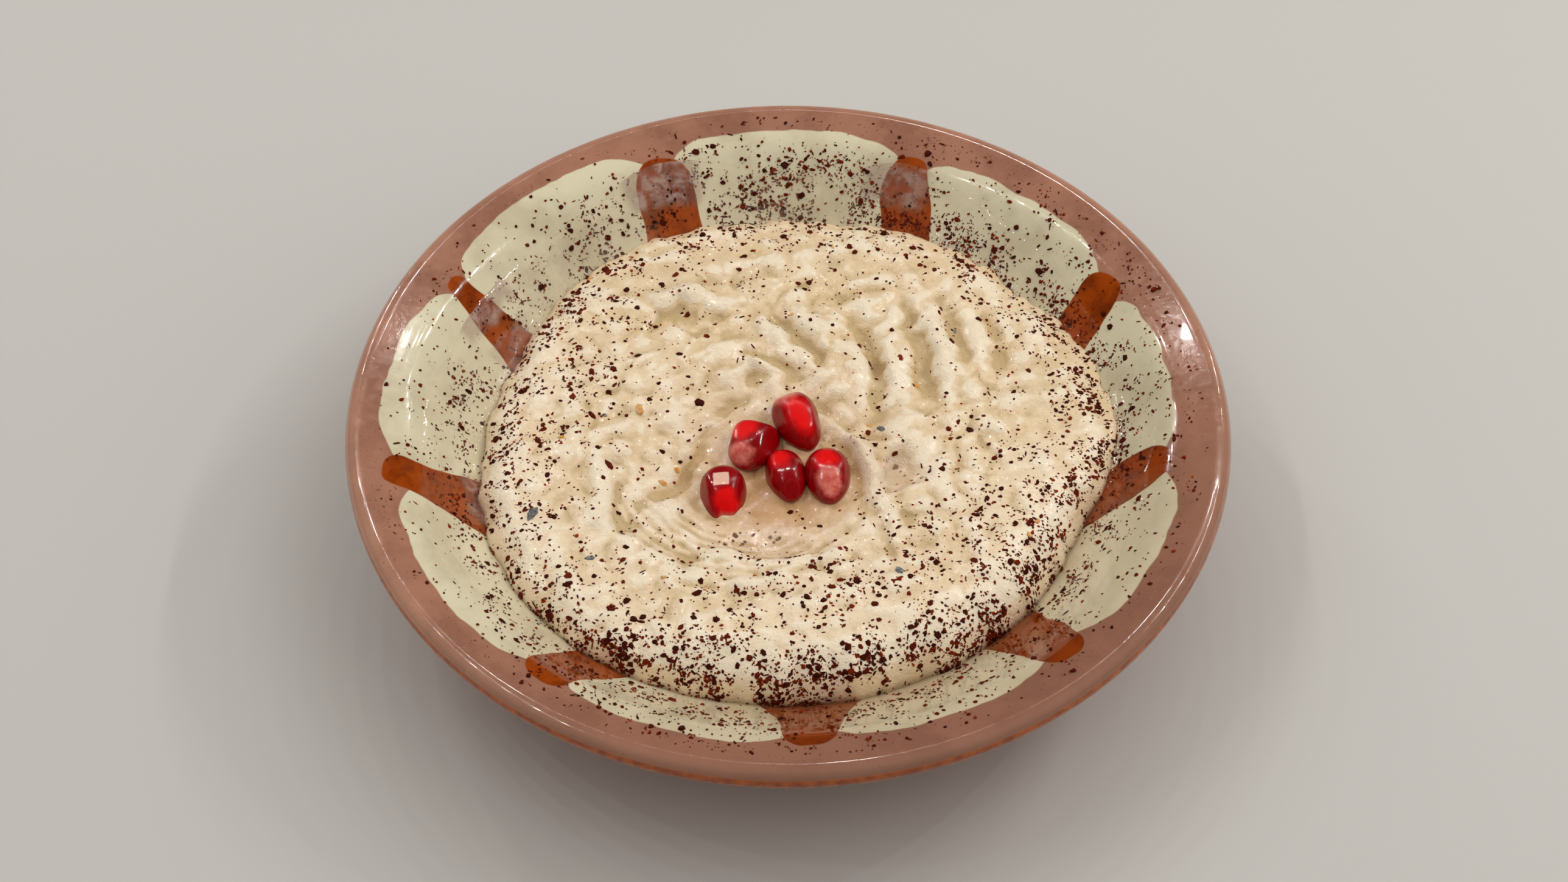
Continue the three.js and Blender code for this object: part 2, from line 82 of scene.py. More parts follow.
# Marks of the spoon: from x, y to x, y, half width, height. A groove has a negative height.
SPOON_MARKS = [
    # flutes on the far right, from left to right
    (-8, 23, 2, 14, 1.8, -1.2), (-5, 30, 3.5, 19, 2.4, 1.5), (-1, 31, 5.5, 19.5, 1.6, -1.9),
    (4, 28, 11, 20, 3.6, 1.0), (14.5, 30, 17.5, 20, 1.7, -1.7), (17.5, 20, 17, 10, 1.7, -1.9),
    (19.5, 30, 21.5, 11, 2.6, 0.9), (22.5, 36, 28.5, 10, 1.8, -1.9), (28, 34, 31, 11, 2.2, 1.1),
    (31.5, 35, 34.5, 20, 1.7, -1.0), (36, 32, 37, 21, 2.0, 0.7), (39.5, 31, 41.5, 19, 1.9, -0.7),
    (41.5, 19, 37, 9, 1.9, -0.6),
    # ledges on the far left
    (-26, 35, -20, 37, 2.0, 0.9), (-20, 37, -12, 35, 2.0, 0.9), (-23, 32, -15, 32, 2.4, -0.8),
    (-14, 46, -3, 45.5, 2.2, 0.6), (-12, 42, -4, 42, 2.2, -0.6), (-16, 28, -11, 28, 1.9, -0.9),
    # the curl beside the seeds and the creases round it
    (-9.5, 16, -6, 19, 1.7, 1.1), (-6, 19, -2.5, 17, 1.7, 1.1), (-2.5, 17, -2, 13.5, 1.7, 1.0),
    (-16, 6, -8, 10.5, 1.3, -0.9), (5, 9, 12, 3, 1.5, -0.9),
    # the wall on the right of the well
    (7, 5.5, 13, -1, 2.1, 1.2), (13, -1, 16, -10, 2.1, 1.3), (16, -10, 18.5, -19, 2.1, 1.0),
    # the sweep round the near left of the well
    (-15.5, 0, -19, -7, 1.9, -1.0), (-19, -7, -30, -20, 1.9, -1.5), (-36, -10, -35, -20, 2.6, 1.0),
    (-35, -20, -20, -33.5, 2.6, 1.1), (-32, -14, -31, -21, 2.3, -0.9), (-31, -21, -22, -28, 2.3, -0.9),
    (-12, -36, -2, -33, 1.7, 0.8), (-2, -33, 10, -28, 1.7, 0.8), (-20, -35, -12, -37, 1.3, -0.6),
    (17, -22, 18, -29, 1.8, -0.7),
]
# Lumps and dents: x, y, half width, height.
LUMPS = [
    (5.3, 15, 2.2, 1.0), (-7.5, 15, 2.8, -0.8), (9, 47, 4, -0.7), (9, 37, 4, -0.7), (17, 4.5, 3.2, -1.2),
    (23, -1, 4, 1.0), (-5, 7.5, 3, 0.6), (-22, -17, 3.4, 1.0), (-18.5, -29, 2.2, -1.4),
    (-11, -27.5, 2.8, 0.9), (22, -20.5, 1.8, -0.8),
]
# Pools of oil: middle, half lengths, depth of the hollow, and how far below its brim the oil stands.
POOLS = {
    "oil_pool_near": dict(x=-3.5, y=-25.5, rx=7.2, ry=3.6, hollow=1.9, below=0.5),
    "oil_pool_right": dict(x=21.8, y=-9.0, rx=3.6, ry=4.3, hollow=2.1, below=0.6),
}
POOL_SECTORS, POOL_DEPTH = 96, 2.6
DIP_GRID = 284  # cells along each side of the dip's grid

# ---- seeds: middle, size (length, width, thickness), turn from +Y and tilt in degrees ----
# Facets: direction round the seed's length (0 to its right, 90 up), lean towards its far end, and
# how much of the round body is left below the flat. Bright spots of painted glow and pale spots of the inner
# seed:
# across, along, half width, half length and strength, as shares of the half sizes, with the far end at +1.
SEEDS = {
    "seed_far": dict(
        x=1.9, y=3.7, z=22.6, size=(13.8, 8.8, 7.8), turn=20, tilt=4,
        facets=[(84, -4, 0.93), (24, -6, 0.9), (150, 4, 0.9), (95, 48, 0.92), (60, -50, 0.9)],
        bright=(-0.02, 0.0, 0.5, 0.62, 1.0), pale=(-0.3, 0.86, 0.75, 0.5, 0.75),
    ),
    "seed_left": dict(
        x=-6.8, y=-1.5, z=21.9, size=(12.4, 9.8, 7.4), turn=-17, tilt=-3,
        facets=[(104, 0, 0.88), (42, 4, 0.86), (172, 0, 0.88), (92, 62, 0.8), (95, -52, 0.9)],
        bright=(-0.4, 0.16, 0.5, 0.4, 1.0), pale=(-0.3, -0.72, 0.62, 0.44, 0.8),
    ),
    "seed_near": dict(
        x=-12.1, y=-13.3, z=21.5, size=(11.8, 8.8, 7.6), turn=3, tilt=12,
        facets=[(94, 20, 0.88), (30, 0, 0.9), (158, 0, 0.9), (92, -38, 0.9)],
        bright=(0.06, -0.42, 0.5, 0.4, 1.0), pale=(0.12, -1.0, 0.55, 0.3, 0.8),
    ),
    "seed_middle": dict(
        x=-0.3, y=-8.7, z=21.3, size=(12.2, 7.8, 7.0), turn=12, tilt=-4,
        facets=[(98, 6, 0.92), (34, 0, 0.9), (160, 10, 0.9), (86, -44, 0.9)],
        bright=(-0.22, 0.4, 0.5, 0.45, 0.85), pale=(0.0, 1.3, 0.1, 0.1, 0.0),
    ),
    "seed_right": dict(
        x=7.5, y=-9.2, z=21.8, size=(12.8, 8.8, 7.6), turn=4, tilt=-3,
        facets=[(84, 10, 0.94), (20, 0, 0.95), (160, 0, 0.94), (92, -40, 0.95)],
        bright=(-0.05, 0.26, 0.5, 0.42, 0.9), pale=(-0.02, -0.5, 0.56, 0.5, 0.95),
    ),
}
SEED_TAPER = 0.16  # how much fatter the far end is
FACET_SHARPNESS = 22
SEED_MESH = (64, 96)  # rings and sectors
WINDOW_REFLECTION_SEED = "seed_near"  # the seed that gets a pale, square painted reflection of a window

# ---- small bits in the paste: x, y, length, width, turn in degrees ----
AMBER_BITS = [
    (-28.4, 7.2, 2.7, 1.7, 80), (-21.0, -6.5, 1.9, 1.5, 30), (-23.6, -9.8, 2.4, 1.2, 20),
    (15.6, 3.6, 2.0, 1.2, 40), (9.1, 51.0, 1.6, 0.7, 80), (-22.4, -34.6, 1.8, 0.8, 10),
    (46.0, -20.6, 2.2, 1.6, 110), (-40.0, 43.6, 2.2, 1.4, 20), (14.2, 36.6, 1.6, 0.6, 75),
    (0.6, 31.6, 2.2, 0.8, 10), (-43.0, -0.6, 2.2, 1.3, 0), (25.0, 14.2, 2.6, 1.8, 20),
    (44.2, -24.0, 2.0, 1.2, 60), (-6.0, -33.0, 1.2, 0.8, 20),
]
SKIN_BITS = [
    (-47.2, -19.3, 4.6, 2.4, 115), (20.1, -32.6, 3.0, 1.8, 60), (17.6, 2.4, 3.2, 1.5, 40),
    (45.0, -35.2, 1.8, 1.0, 35), (-36.0, -29.5, 2.2, 1.6, 0), (33.0, 28.5, 1.6, 1.1, 80),
    (-35.0, 5.5, 1.3, 0.8, 40),
]

# ---- painted pattern ----
# Brown stripes: tip x, y, inner end x, y, width at the tip and at the inner end.
STRIPES = [
    (-26.6, 67.6, -23.0, 56.5, 11.6, 11.8), (23.8, 68.0, 24.2, 56.5, 9.6, 9.8),
    (63.6, 34.8, 54.6, 26.6, 9.0, 9.4), (70.6, -9.9, 58.6, -11.4, 9.6, 11.0),
    (48.9, -57.0, 39.0, -39.0, 9.2, 13.2), (3.6, -75.2, 3.9, -55.0, 9.1, 18.5),
    (-43.6, -61.2, -33.6, -50.0, 9.4, 10.4), (-74.3, -15.2, -56.5, -13.8, 7.6, 14.2),
    (-66.3, 33.0, -51.0, 25.2, 4.6, 11.0),
]
STRIPE_FLARE = 1.7  # how late a stripe widens towards its inner end
STRIPE_POWER = 2.6  # squareness of its tip
STRIPE_HIDDEN = 12  # how far it runs on under the dip
FAR_OUTSIDE = -99.0
LOBE_REACH = [75.3, 73.9, 72.9, 74.5, 74.2, 74.9, 75.2, 76.2, 76.4]  # outer edge of the pale fields
LOBE_FOOT = 57.0  # radius where a field's sides would meet
LOBE_POWER = 4.2  # squareness of its outer corners

# ---- wet film on the wall round the dip ----
FILM_REACH = 68.3
# Where it reaches further or less far: direction in degrees, spread, rise.
FILM_BULGES = [(112, 12, 3.4), (70, 10, 2.6), (-38, 48, -9.0)]
FILM_DEPTH, FILM_TUCK, FILM_CLIMB = 0.3, 0.9, 0.75
LIQUID_SHINE, LIQUID_ROUGHNESS = 0.04, 0.04
# Milky smears in the film: direction in degrees, half spread, inner and outer radius, strength.
SMEARS = [
    (112, 7, 65.2, 72.0, 0.4), (71, 6, 64.8, 71.0, 0.3), (153, 7, 55.0, 62.4, 0.22),
    (153, 7, 65.0, 69.0, 0.42), (192, 6, 56.0, 61.8, 0.3), (90, 14, 60.0, 68.0, 0.1),
    (131, 16, 58.0, 67.0, 0.14), (172, 12, 56.0, 66.0, 0.08),
]

# ---- sumac ----
# Flakes per square centimetre in twelve directions, from +X by way of +Y.
# On the dip: from its middle to its edge. On the plate: from the dip's edge outwards.
DIP_SUMAC_AT = [0.12, 0.38, 0.62, 0.82, 0.96]  # shares of the dip's reach
DIP_SUMAC = [
    (14, 18, 32, 49, 221), (11, 18, 10, 20, 163), (7, 15, 13, 20, 112), (7, 10, 24, 20, 127),
    (7, 8, 24, 52, 108), (5, 14, 38, 118, 139), (7, 18, 29, 92, 128), (7, 8, 24, 37, 128),
    (5, 11, 37, 55, 209), (7, 23, 86, 61, 245), (8, 21, 85, 71, 244), (9, 21, 63, 106, 206),
]
PLATE_SUMAC_AT = [1.0, 3.5, 6.5, 10.0, 14.0, 19.0]  # millimetres beyond the dip's edge
PLATE_SUMAC = [
    (234, 114, 56, 38, 26, 24), (264, 147, 22, 53, 64, 54), (313, 244, 53, 33, 34, 27),
    (372, 373, 313, 92, 54, 42), (161, 184, 103, 27, 3, 3), (72, 184, 97, 14, 25, 14),
    (50, 200, 149, 16, 24, 12), (40, 86, 75, 7, 17, 10), (24, 76, 122, 62, 60, 38),
    (26, 82, 99, 86, 66, 50), (39, 85, 95, 52, 34, 20), (46, 145, 121, 21, 20, 15),
]
STEEP_STEP, STEEPEST = 0.4, 2.5  # where the skin is steep: step for its slope, and the most that counts
SIDE_FLAKES = 0.85  # how dense they lie on the dip's side, against the top beside it
SIDE_SHARE, SIDE_HEIGHT = 0.6, 10.0  # how much of the side's height has flakes, and that height
SIDE_BAND = 1.6  # width in plan of the steep side
CLEAR_OF_SEEDS, CLEAR_OF_DIP = 0.25, 0.1
DIP_TRIES, SIDE_TRIES, PLATE_TRIES = 120000, 60000, 150000
DIP_OUTER, PLATE_OUTER = 63.0, 78.0
# Middle length, spread of lengths and largest length.
DIP_FLAKE_SIZES, PLATE_FLAKE_SIZES = (0.56, 0.5, 1.7), (0.46, 0.52, 1.8)
FLAKE_SIDES, SMALLEST_FLAKE, SLIVER_SHARE = 6, 0.16, 0.09
FLAKE_WIDTH, FLAKE_RAGGED = (0.4, 0.95), (0.78, 1.1)
FLAKE_THICKNESS, FLAKE_TAPER = (0.16, 0.34), (0.55, 0.9)
FLAKE_LIFT, FLAKES_IN_FILM = 0.15, 0.1
BIT_LIFT, BIT_TILT = 0.02, 8
SLOPE_STEP = 0.25
# Single flakes that show: x, y, length, width, turn in degrees, tone from black 0 to red-brown 1.
LARGE_FLAKES = [
    (-17.2, 9.6, 2.9, 2.3, 10, 0.0), (-33.6, -7.3, 3.3, 1.7, 62, 0.2), (-37.3, 5.4, 2.0, 1.2, 50, 0.15),
    (-32.5, -47.1, 2.4, 1.6, 0, 0.3), (-42.9, -40.6, 2.2, 1.6, 30, 0.15),
    (-36.8, 45.5, 2.4, 2.0, 70, 0.2), (-22.4, 43.2, 2.4, 1.5, 125, 0.45), (7.9, -36.6, 2.3, 1.2, 0, 0.3),
    (-26.0, -43.8, 2.9, 0.8, 12, 0.1), (-31.7, -41.2, 2.3, 1.3, 0, 0.25),
    (-16.5, -37.9, 3.0, 1.2, -30, 0.05), (-39.3, -42.0, 1.6, 1.1, 40, 0.2),
    (-48.3, 30.4, 2.0, 1.2, 60, 0.15), (-43.5, 35.6, 2.2, 1.2, 50, 0.15), (0.8, 59.3, 1.8, 1.1, 20, 0.35),
    (21.9, 20.3, 1.7, 1.3, 60, 0.6), (26.8, 51.4, 2.1, 0.8, 40, 0.15), (13.6, 49.6, 1.5, 1.1, 0, 0.15),
    (39.1, -39.1, 1.8, 1.0, 80, 0.2), (33.8, -30.4, 1.8, 1.2, 30, 0.25), (54.1, 29.1, 1.8, 1.1, 0, 0.2),
    (53.9, -12.7, 2.0, 1.2, 60, 0.3), (46.7, 17.0, 1.8, 1.1, 80, 0.25), (32.3, 3.2, 1.6, 1.0, 110, 0.3),
    (20.2, -3.6, 1.9, 1.0, -40, 0.2), (26.5, -9.0, 1.2, 1.0, 0, 0.0), (17.4, 8.2, 1.3, 0.9, 0, 0.1),
    (38.8, 10.6, 2.0, 0.4, 70, 0.1),
]

# ---- light ----
# Broad soft lamps, which make no sheen in gloss: place in metres, size and power in watts.
SOFT_LAMPS = {
    "overhead": ((0.15, 0.04, 1.1), 1.3, 2.6),
    "front_left": ((-0.75, -0.3, 0.65), 1.0, 3.0),
    "front_right": ((0.75, -0.25, 0.8), 1.2, 5.6),
}
# Rows of small bright lamps that make the rows of glints: start, end, count and power of each.
LAMP_ROWS = {
    "back_row": ((-0.42, 0.5, 0.7), (0.46, 0.5, 0.7), 9, 0.19),
    "right_row": ((0.6, 0.12, 0.62), (0.6, 0.45, 0.62), 5, 0.26),
    "left_row": ((-0.42, -0.15, 0.85), (-0.42, 0.3, 0.85), 5, 0.2),
    "left_corner": ((-0.5, 0.68, 0.62), (-0.5, 0.68, 0.24), 5, 0.15),
    "right_corner": ((0.6, 0.62, 0.6), (0.6, 0.62, 0.3), 4, 0.15),
}
LAMP_DOT = 0.015
LAMP_COLOUR = (1.0, 0.97, 0.93)
WORLD_LIGHT = 0.055
FLOOR_COLOUR, FLOOR_HALF = (196, 194, 190), 1500.0
CAMERA_FILM, CAMERA_LENS, CAMERA_TILT = 36.0, 57.82, 39.94
CAMERA_PLACE = (-0.00076, -0.30745, 0.38857)

# ==== small helpers ====


def ease(low, high, value):
    """0 below the low value and 1 above the high one, with a smooth rise between."""
    share = np.clip((value - low) / (high - low), 0, 1)
    return share * share * (3 - 2 * share)


def hump(off, width):
    """1 at no offset, falling smoothly to 0 past the width."""
    return np.exp(-((off / width) ** 2))


def polar(x, y):
    return np.hypot(x, y), np.arctan2(y, x)


def flat(radius, angle):
    """x and y of a place given by its radius and angle."""
    return radius * np.cos(angle), radius * np.sin(angle)


def turned(a, b, degrees):
    cos, sin = np.cos(np.radians(degrees)), np.sin(np.radians(degrees))
    return a * cos - b * sin, a * sin + b * cos


def hashed(ix, iy, seed):
    """A repeatable number from 0 to 1 for each lattice point."""
    value = (ix * 374761393 + iy * 668265263 + seed * 982451653) & 0xFFFFFFFF
    value = ((value ^ (value >> 13)) * 1274126177) & 0xFFFFFFFF
    return ((value ^ (value >> 16)) & 0xFFFFFFFF) / 4294967296.0


def ripple(x, y, scale, seed):
    """Smooth gradient noise from about -1 to 1, with lumps of about the given size."""
    gx, gy = np.asarray(x, float) / scale, np.asarray(y, float) / scale
    ix, iy = np.floor(gx).astype(np.int64), np.floor(gy).astype(np.int64)
    fx, fy = gx - ix, gy - iy
    total = 0.0
    for dx in (0, 1):
        for dy in (0, 1):
            turn = TAU * hashed(ix + dx, iy + dy, seed)
            along = np.cos(turn) * (fx - dx) + np.sin(turn) * (fy - dy)
            ax, ay = np.abs(fx - dx), np.abs(fy - dy)
            total = total + along * (1 - ease(0, 1, ax)) * (1 - ease(0, 1, ay))
    return total * RIPPLE_GAIN


def add_piece(name, points, faces, material, slot=None, stands_for=None, smooth=True, **attributes):
    """A mesh object from points in millimetres, with optional numbers stored on its points."""
    mesh = bpy.data.meshes.new(name)
    mesh.from_pydata((np.asarray(points, float) * MM).tolist(), [], faces)
    shell = bmesh.new()
    shell.from_mesh(mesh)
    bmesh.ops.recalc_face_normals(shell, faces=shell.faces)
    shell.to_mesh(mesh)
    shell.free()
    mesh.polygons.foreach_set("use_smooth", np.full(len(mesh.polygons), smooth))
    for key, values in attributes.items():
        layer = mesh.attributes.new(key, "FLOAT", "POINT")
        layer.data.foreach_set("value", np.asarray(values, np.float32).ravel())
    mesh.materials.append(material)
    mesh.update()
    piece = bpy.data.objects.new(name, mesh)
    bpy.context.scene.collection.objects.link(piece)
    if stands_for:
        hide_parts(stands_for)
    if slot:
        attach(piece, "root")
    return piece


def band(first, second):
    """Quads between two closed rows of points, given by their numbers."""
    return np.stack([first, np.roll(first, -1), np.roll(second, -1), second], -1).tolist()


def fan(row, middle):
    """Triangles between a closed row of points and one point."""
    return [[int(a), int(b), middle] for a, b in zip(row, np.roll(row, -1))]


def ring_faces(rings, sectors):
    """Quads between closed rings of points that follow each other."""
    rows = np.arange(rings * sectors).reshape(rings, sectors)
    return [quad for first, second in zip(rows, rows[1:]) for quad in band(first, second)]


def layer_faces(rings, sectors):
    """Faces of a thin layer: its top, its underside, and the edge along its first ring."""
    count, side, first = rings * sectors, np.array(ring_faces(rings, sectors)), np.arange(sectors)
    return side[:, ::-1].tolist() + (side + count).tolist() + band(first, first + count)


# ==== materials ====


def srgb(*values):
    """Linear colour, with alpha, of an sRGB colour given from 0 to 255."""
    shares = [value / 255 for value in values]
    return (*(s / 12.92 if s <= 0.0405 else ((s + 0.055) / 1.055) ** 2.4 for s in shares), 1.0)


class Paint:
    """A Principled material. Plain numbers go on its own sockets; colours are sRGB, from 0 to 255."""

    def __init__(self, name, **numbers):
        self.material = bpy.data.materials.new(name)
        self.material.use_nodes = True
        self.tree = self.material.node_tree
        self.shader = self.tree.nodes["Principled BSDF"]
        self.put(**numbers)

    def fill(self, socket, value):
        if isinstance(value, bpy.types.NodeSocket):
            self.tree.links.new(value, socket)
        else:
            socket.default_value = value

    def put(self, **sockets):
        """Sets or links sockets of the Principled shader."""
        for key, value in sockets.items():
            self.fill(self.shader.inputs[key.replace("_", " ")], value)

    def node(self, kind, **parts):
        """A shader node. Lower case is for its settings, and a capital for its sockets."""
        made = self.tree.nodes.new("ShaderNode" + kind)
        for key, value in parts.items():
            if key.islower():
                setattr(made, key, value)
            else:
                self.fill(made.inputs[key.replace("_", " ")], value)
        return made

    def mix(self, factor, first, second):
        """Colour mix: first where the factor is 0, second where it is 1."""
        made = self.node("Mix", data_type="RGBA")
        for place, value in ((0, factor), (6, first), (7, second)):
            self.fill(made.inputs[place], srgb(*value) if isinstance(value, tuple) else value)
        return made.outputs[2]

    def remap(self, value, low, high, to_low=0.0, to_high=1.0, curve="SMOOTHSTEP"):
        return self.node(
            "MapRange", interpolation_type=curve, Value=value, From_Min=low, From_Max=high, To_Min=to_low,
            To_Max=to_high,
        ).outputs["Result"]

    def over(self, first, second, value, low, high, *ends, **curve):
        """The first colour where the value is low and the second where it is high."""
        return self.mix(self.remap(value, low, high, *ends, **curve), first, second)

    def layers(self, colour, *rows, **curve):
        """Lays colours over each other. A row is a colour and what over() takes after it."""
        for second, value, *limits in rows:
            colour = self.over(colour, second, value, *limits, **curve)
        return colour

    def math(self, operation, first, second):
        made = self.node("Math", operation=operation)
        self.fill(made.inputs[0], first)
        self.fill(made.inputs[1], second)
        return made.outputs[0]

    def wash(self, first, second, value, strength):
        return self.mix(self.math("MULTIPLY", value, strength), first, second)

    def noise(self, size, detail=3.0, roughness=0.5, distortion=0.0):
        """Noise in the object's own space, with features of about the given size in millimetres."""
        return self.node(
            "TexNoise", Vector=self.node("TexCoord").outputs["Object"], Scale=1 / (size * MM), Detail=detail,
            Roughness=roughness, Distortion=distortion,
        ).outputs["Fac"]

    def stored(self, name):
        return self.node("Attribute", attribute_name=name).outputs["Fac"]

    def bump(self, height, distance, **under):
        """Bump of a height that runs from 0 to 1 over the given distance in millimetres."""
        return self.node("Bump", Height=height, Distance=distance * MM, **under).outputs["Normal"]

    def show_through(self, cover, normal):
        """Makes a clear liquid that hides what lies below by its cover and shines all over."""
        shine = (LIQUID_SHINE, LIQUID_SHINE, LIQUID_SHINE, 1)
        gloss = self.node("BsdfGlossy", Color=shine, Roughness=LIQUID_ROUGHNESS, Normal=normal)
        clear, film, whole = (self.node(kind) for kind in ("BsdfTransparent", "AddShader", "MixShader"))
        output = self.tree.nodes["Material Output"]
        for made, parts in ((film, (clear, gloss)), (whole, (cover, film, self.shader)), (output, (whole,))):
            for socket, part in zip(made.inputs, parts):
                self.fill(socket, part if part is cover else part.outputs[0])


def plate_material():
    p = Paint("glaze", Specular_IOR_Level=0.25, Coat_Roughness=0.03)
    clouds, mottle = p.noise(14, 4, 0.6), p.noise(2.2, 3, 0.6)
    specks, grain = p.noise(0.55, 2), p.noise(0.3, 2)
    dusk, film = p.stored("dusk"), p.stored("film")
    pink = p.over((168, 119, 97), (146, 101, 82), clouds, 0.35, 0.65)
    pink = p.over(pink, (172, 120, 95), mottle, 0.45, 0.7, 0.0, 0.35)
    pink = p.over(pink, (96, 54, 42), specks, 0.67, 0.73, 0.0, 0.85)
    # painted highlight: the lip is drawn lighter all round
    pink = p.wash(pink, (214, 168, 142), p.stored("thin"), 0.3)
    # painted shade: the pink glaze is drawn darker towards the near right, where less light falls
    pink = p.wash(pink, (124, 84, 68), dusk, 0.55)
    pale = p.over((218, 210, 180), (198, 187, 157), clouds, 0.4, 0.7)
    # painted shade: the pale fields are drawn darker towards the near right
    pale = p.wash(pale, (178, 160, 128), dusk, 0.5)
    pale = p.over(pale, (150, 126, 100), specks, 0.74, 0.79, 0.0, 0.5)
    brown = p.over((158, 66, 2), (112, 40, 1), p.noise(5, 4, 0.6), 0.35, 0.7)
    # painted shade: the brown stripes are drawn darker towards the near right
    brown = p.wash(brown, (98, 36, 3), dusk, 0.5)
    body = p.over((186, 92, 20), (140, 62, 12), mottle, 0.3, 0.7)
    colour = p.over(pink, pale, p.stored("lobe"), -0.12, 0.22)
    colour = p.over(colour, brown, p.stored("stripe"), -0.12, 0.16)
    # a browner tint in the film: dust, drawn stronger towards the near right as painted shade
    dust_and_painted_shade = p.math("MULTIPLY", p.remap(film, -1.5, 2.5), p.remap(dusk, 0.2, 1.0, 0.08, 0.34))
    colour = p.mix(dust_and_painted_shade, colour, (150, 112, 80))
    colour = p.over(body, colour, p.stored("glaze"), -0.25, 0.25)
    peel = p.bump(p.noise(1.7, 2), 0.035)
    p.put(Base_Color=colour, Normal=p.bump(grain, 0.006, Normal=peel))
    p.put(Roughness=p.remap(mottle, 0.3, 0.7, 0.08, 0.2))
    # glaze under the film has no shine of its own
    p.put(Coat_Weight=p.remap(film, -0.5, 0.5, 0.4, 0.0))
    return p.material


def dip_material():
    """Wet, creamy paste: paler on its crests as painted highlight, yellower and darker in its dents, partly
    oil lying there and partly painted shade.
    """
    p = Paint(
        "dip", Specular_IOR_Level=0.3, Subsurface_Weight=0.2, Subsurface_Radius=(1.0, 0.6, 0.35),
        Subsurface_Scale=0.0008, Coat_Weight=1.0, Coat_Roughness=0.03,
    )
    dent = p.stored("dent")
    colour = p.layers(
        (242, 220, 188),
        ((232, 205, 165), p.noise(9, 4, 0.6, 0.4), 0.36, 0.68),
        ((214, 186, 132), p.noise(4.5, 3, 0.6, 0.8), 0.6, 0.75, 0.0, 0.5),
        ((216, 184, 130), p.stored("oily"), 0.0, 1.0, 0.0, 0.28),
        ((244, 228, 200), p.noise(1.3, 4, 0.65), 0.35, 0.75, 0.0, 0.35),
        # dents: oil and painted shade; crests, in the next row: painted highlight
        ((188, 158, 104), dent, 0.05, 1.0, 0.0, 0.7),
        ((252, 239, 216), dent, -0.5, -0.04, 0.7, 0.0),
        ((197, 148, 98), p.stored("well"), 0.1, 1.0, 0.0, 0.85),
    )
    skin = p.bump(p.noise(0.9, 4, 0.7), 0.34)
    wet = p.bump(p.noise(2.1, 2), 0.22)
    p.put(
        Base_Color=colour, Normal=p.bump(p.noise(0.32, 2), 0.09, Normal=skin),
        Roughness=p.remap(p.noise(3), 0.35, 0.65, 0.2, 0.42),
        Coat_Normal=p.bump(p.noise(0.7, 2), 0.08, Normal=wet),
    )
    return p.material


def film_material():
    """Clear juice and oil, milky in smears with small bubbles."""
    p = Paint("film", Roughness=0.05, IOR=1.4, Specular_IOR_Level=0.35)
    smear = p.stored("smear")
    clouds = p.remap(p.noise(3.4, 5, 0.6, 0.6), 0.36, 0.68)
    milky = p.mix(clouds, (158, 120, 108), (206, 184, 172))
    cover = p.math("MULTIPLY", smear, p.remap(clouds, 0.0, 1.0, 0.6, 1.35))
    cover = p.math("ADD", cover, p.remap(p.stored("rim"), 0.0, 1.0, 0.0, 0.05))
    surface = p.bump(p.noise(1.6), 0.06)
    p.put(Base_Color=p.over((206, 186, 150), milky, smear, 0.0, 0.3), Normal=surface)
    p.show_through(cover, surface)
    return p.material


def oil_material():
    """Clear yellowish oil over the paste."""
    p = Paint("oil", Roughness=0.03, IOR=1.46, Coat_Weight=0.4, Coat_Roughness=0.02)
    surface = p.bump(p.noise(1.3), 0.14)
    p.put(Base_Color=p.over((214, 182, 118), (222, 196, 142), p.noise(3), 0.3, 0.7), Normal=surface)
    p.show_through(p.remap(p.stored("deep"), 0.0, 1.8, 0.0, 0.22), surface)
    return p.material


def flake_material():
    p = Paint("sumac", Roughness=0.6, Specular_IOR_Level=0.06)
    tone = p.stored("tone")
    colour = p.layers(
        (58, 16, 6),
        ((104, 28, 6), tone, 0.0, 0.35),
        ((152, 52, 6), tone, 0.35, 0.8),
        ((204, 100, 22), tone, 0.8, 1.0),
        curve="LINEAR",
    )
    colour = p.over(colour, (60, 13, 2), p.noise(0.35, 3, 0.6), 0.35, 0.7, 0.0, 0.35)
    p.put(Base_Color=colour, Normal=p.bump(p.noise(0.3), 0.08))
    return p.material


def seed_material():
    """Wet ruby pulp: painted glow where light would gather, painted highlights on the facet edges, a painted
    window reflection, and pale where the inner seed shows.
    """
    p = Paint(
        "seed", Roughness=0.3, Specular_IOR_Level=0.1, Subsurface_Weight=0.25, Coat_Weight=0.8,
        Subsurface_Radius=(1.0, 0.1, 0.06), Subsurface_Scale=0.0014, Coat_Roughness=0.012,
    )
    veins = p.remap(p.noise(1.3, 4, 0.6, 0.6), 0.35, 0.7, 0.0, 0.14)
    painted_glow = p.math("SUBTRACT", p.stored("painted_glow"), veins)
    pale = p.math("SUBTRACT", p.stored("pale"), veins)
    pulp = p.over((200, 84, 76), (222, 132, 116), p.noise(1.4, 3, 0.6), 0.3, 0.7)
    colour = p.layers(
        (122, 0, 4),
        # painted glow: brighter red where light would gather
        ((194, 3, 8), painted_glow, -0.2, 0.4),
        ((228, 10, 12), painted_glow, 0.3, 0.8),
        (pulp, pale, 0.05, 0.8),
        # painted highlight: thin lighter lines along the facet edges
        ((220, 60, 60), p.stored("edge"), 0.0, 1.0, 0.0, 0.12),
        ((190, 60, 60), p.stored("base"), 0.0, 1.0, 0.0, 0.15),
        # painted reflection of a window: a pale square on one seed
        ((228, 184, 164), p.stored("painted_window_reflection"), 0.25, 0.75),
    )
    p.put(Base_Color=colour, Normal=p.bump(p.noise(1.8), 0.08), Coat_Normal=p.bump(p.noise(1.4, 2), 0.06))
    return p.material


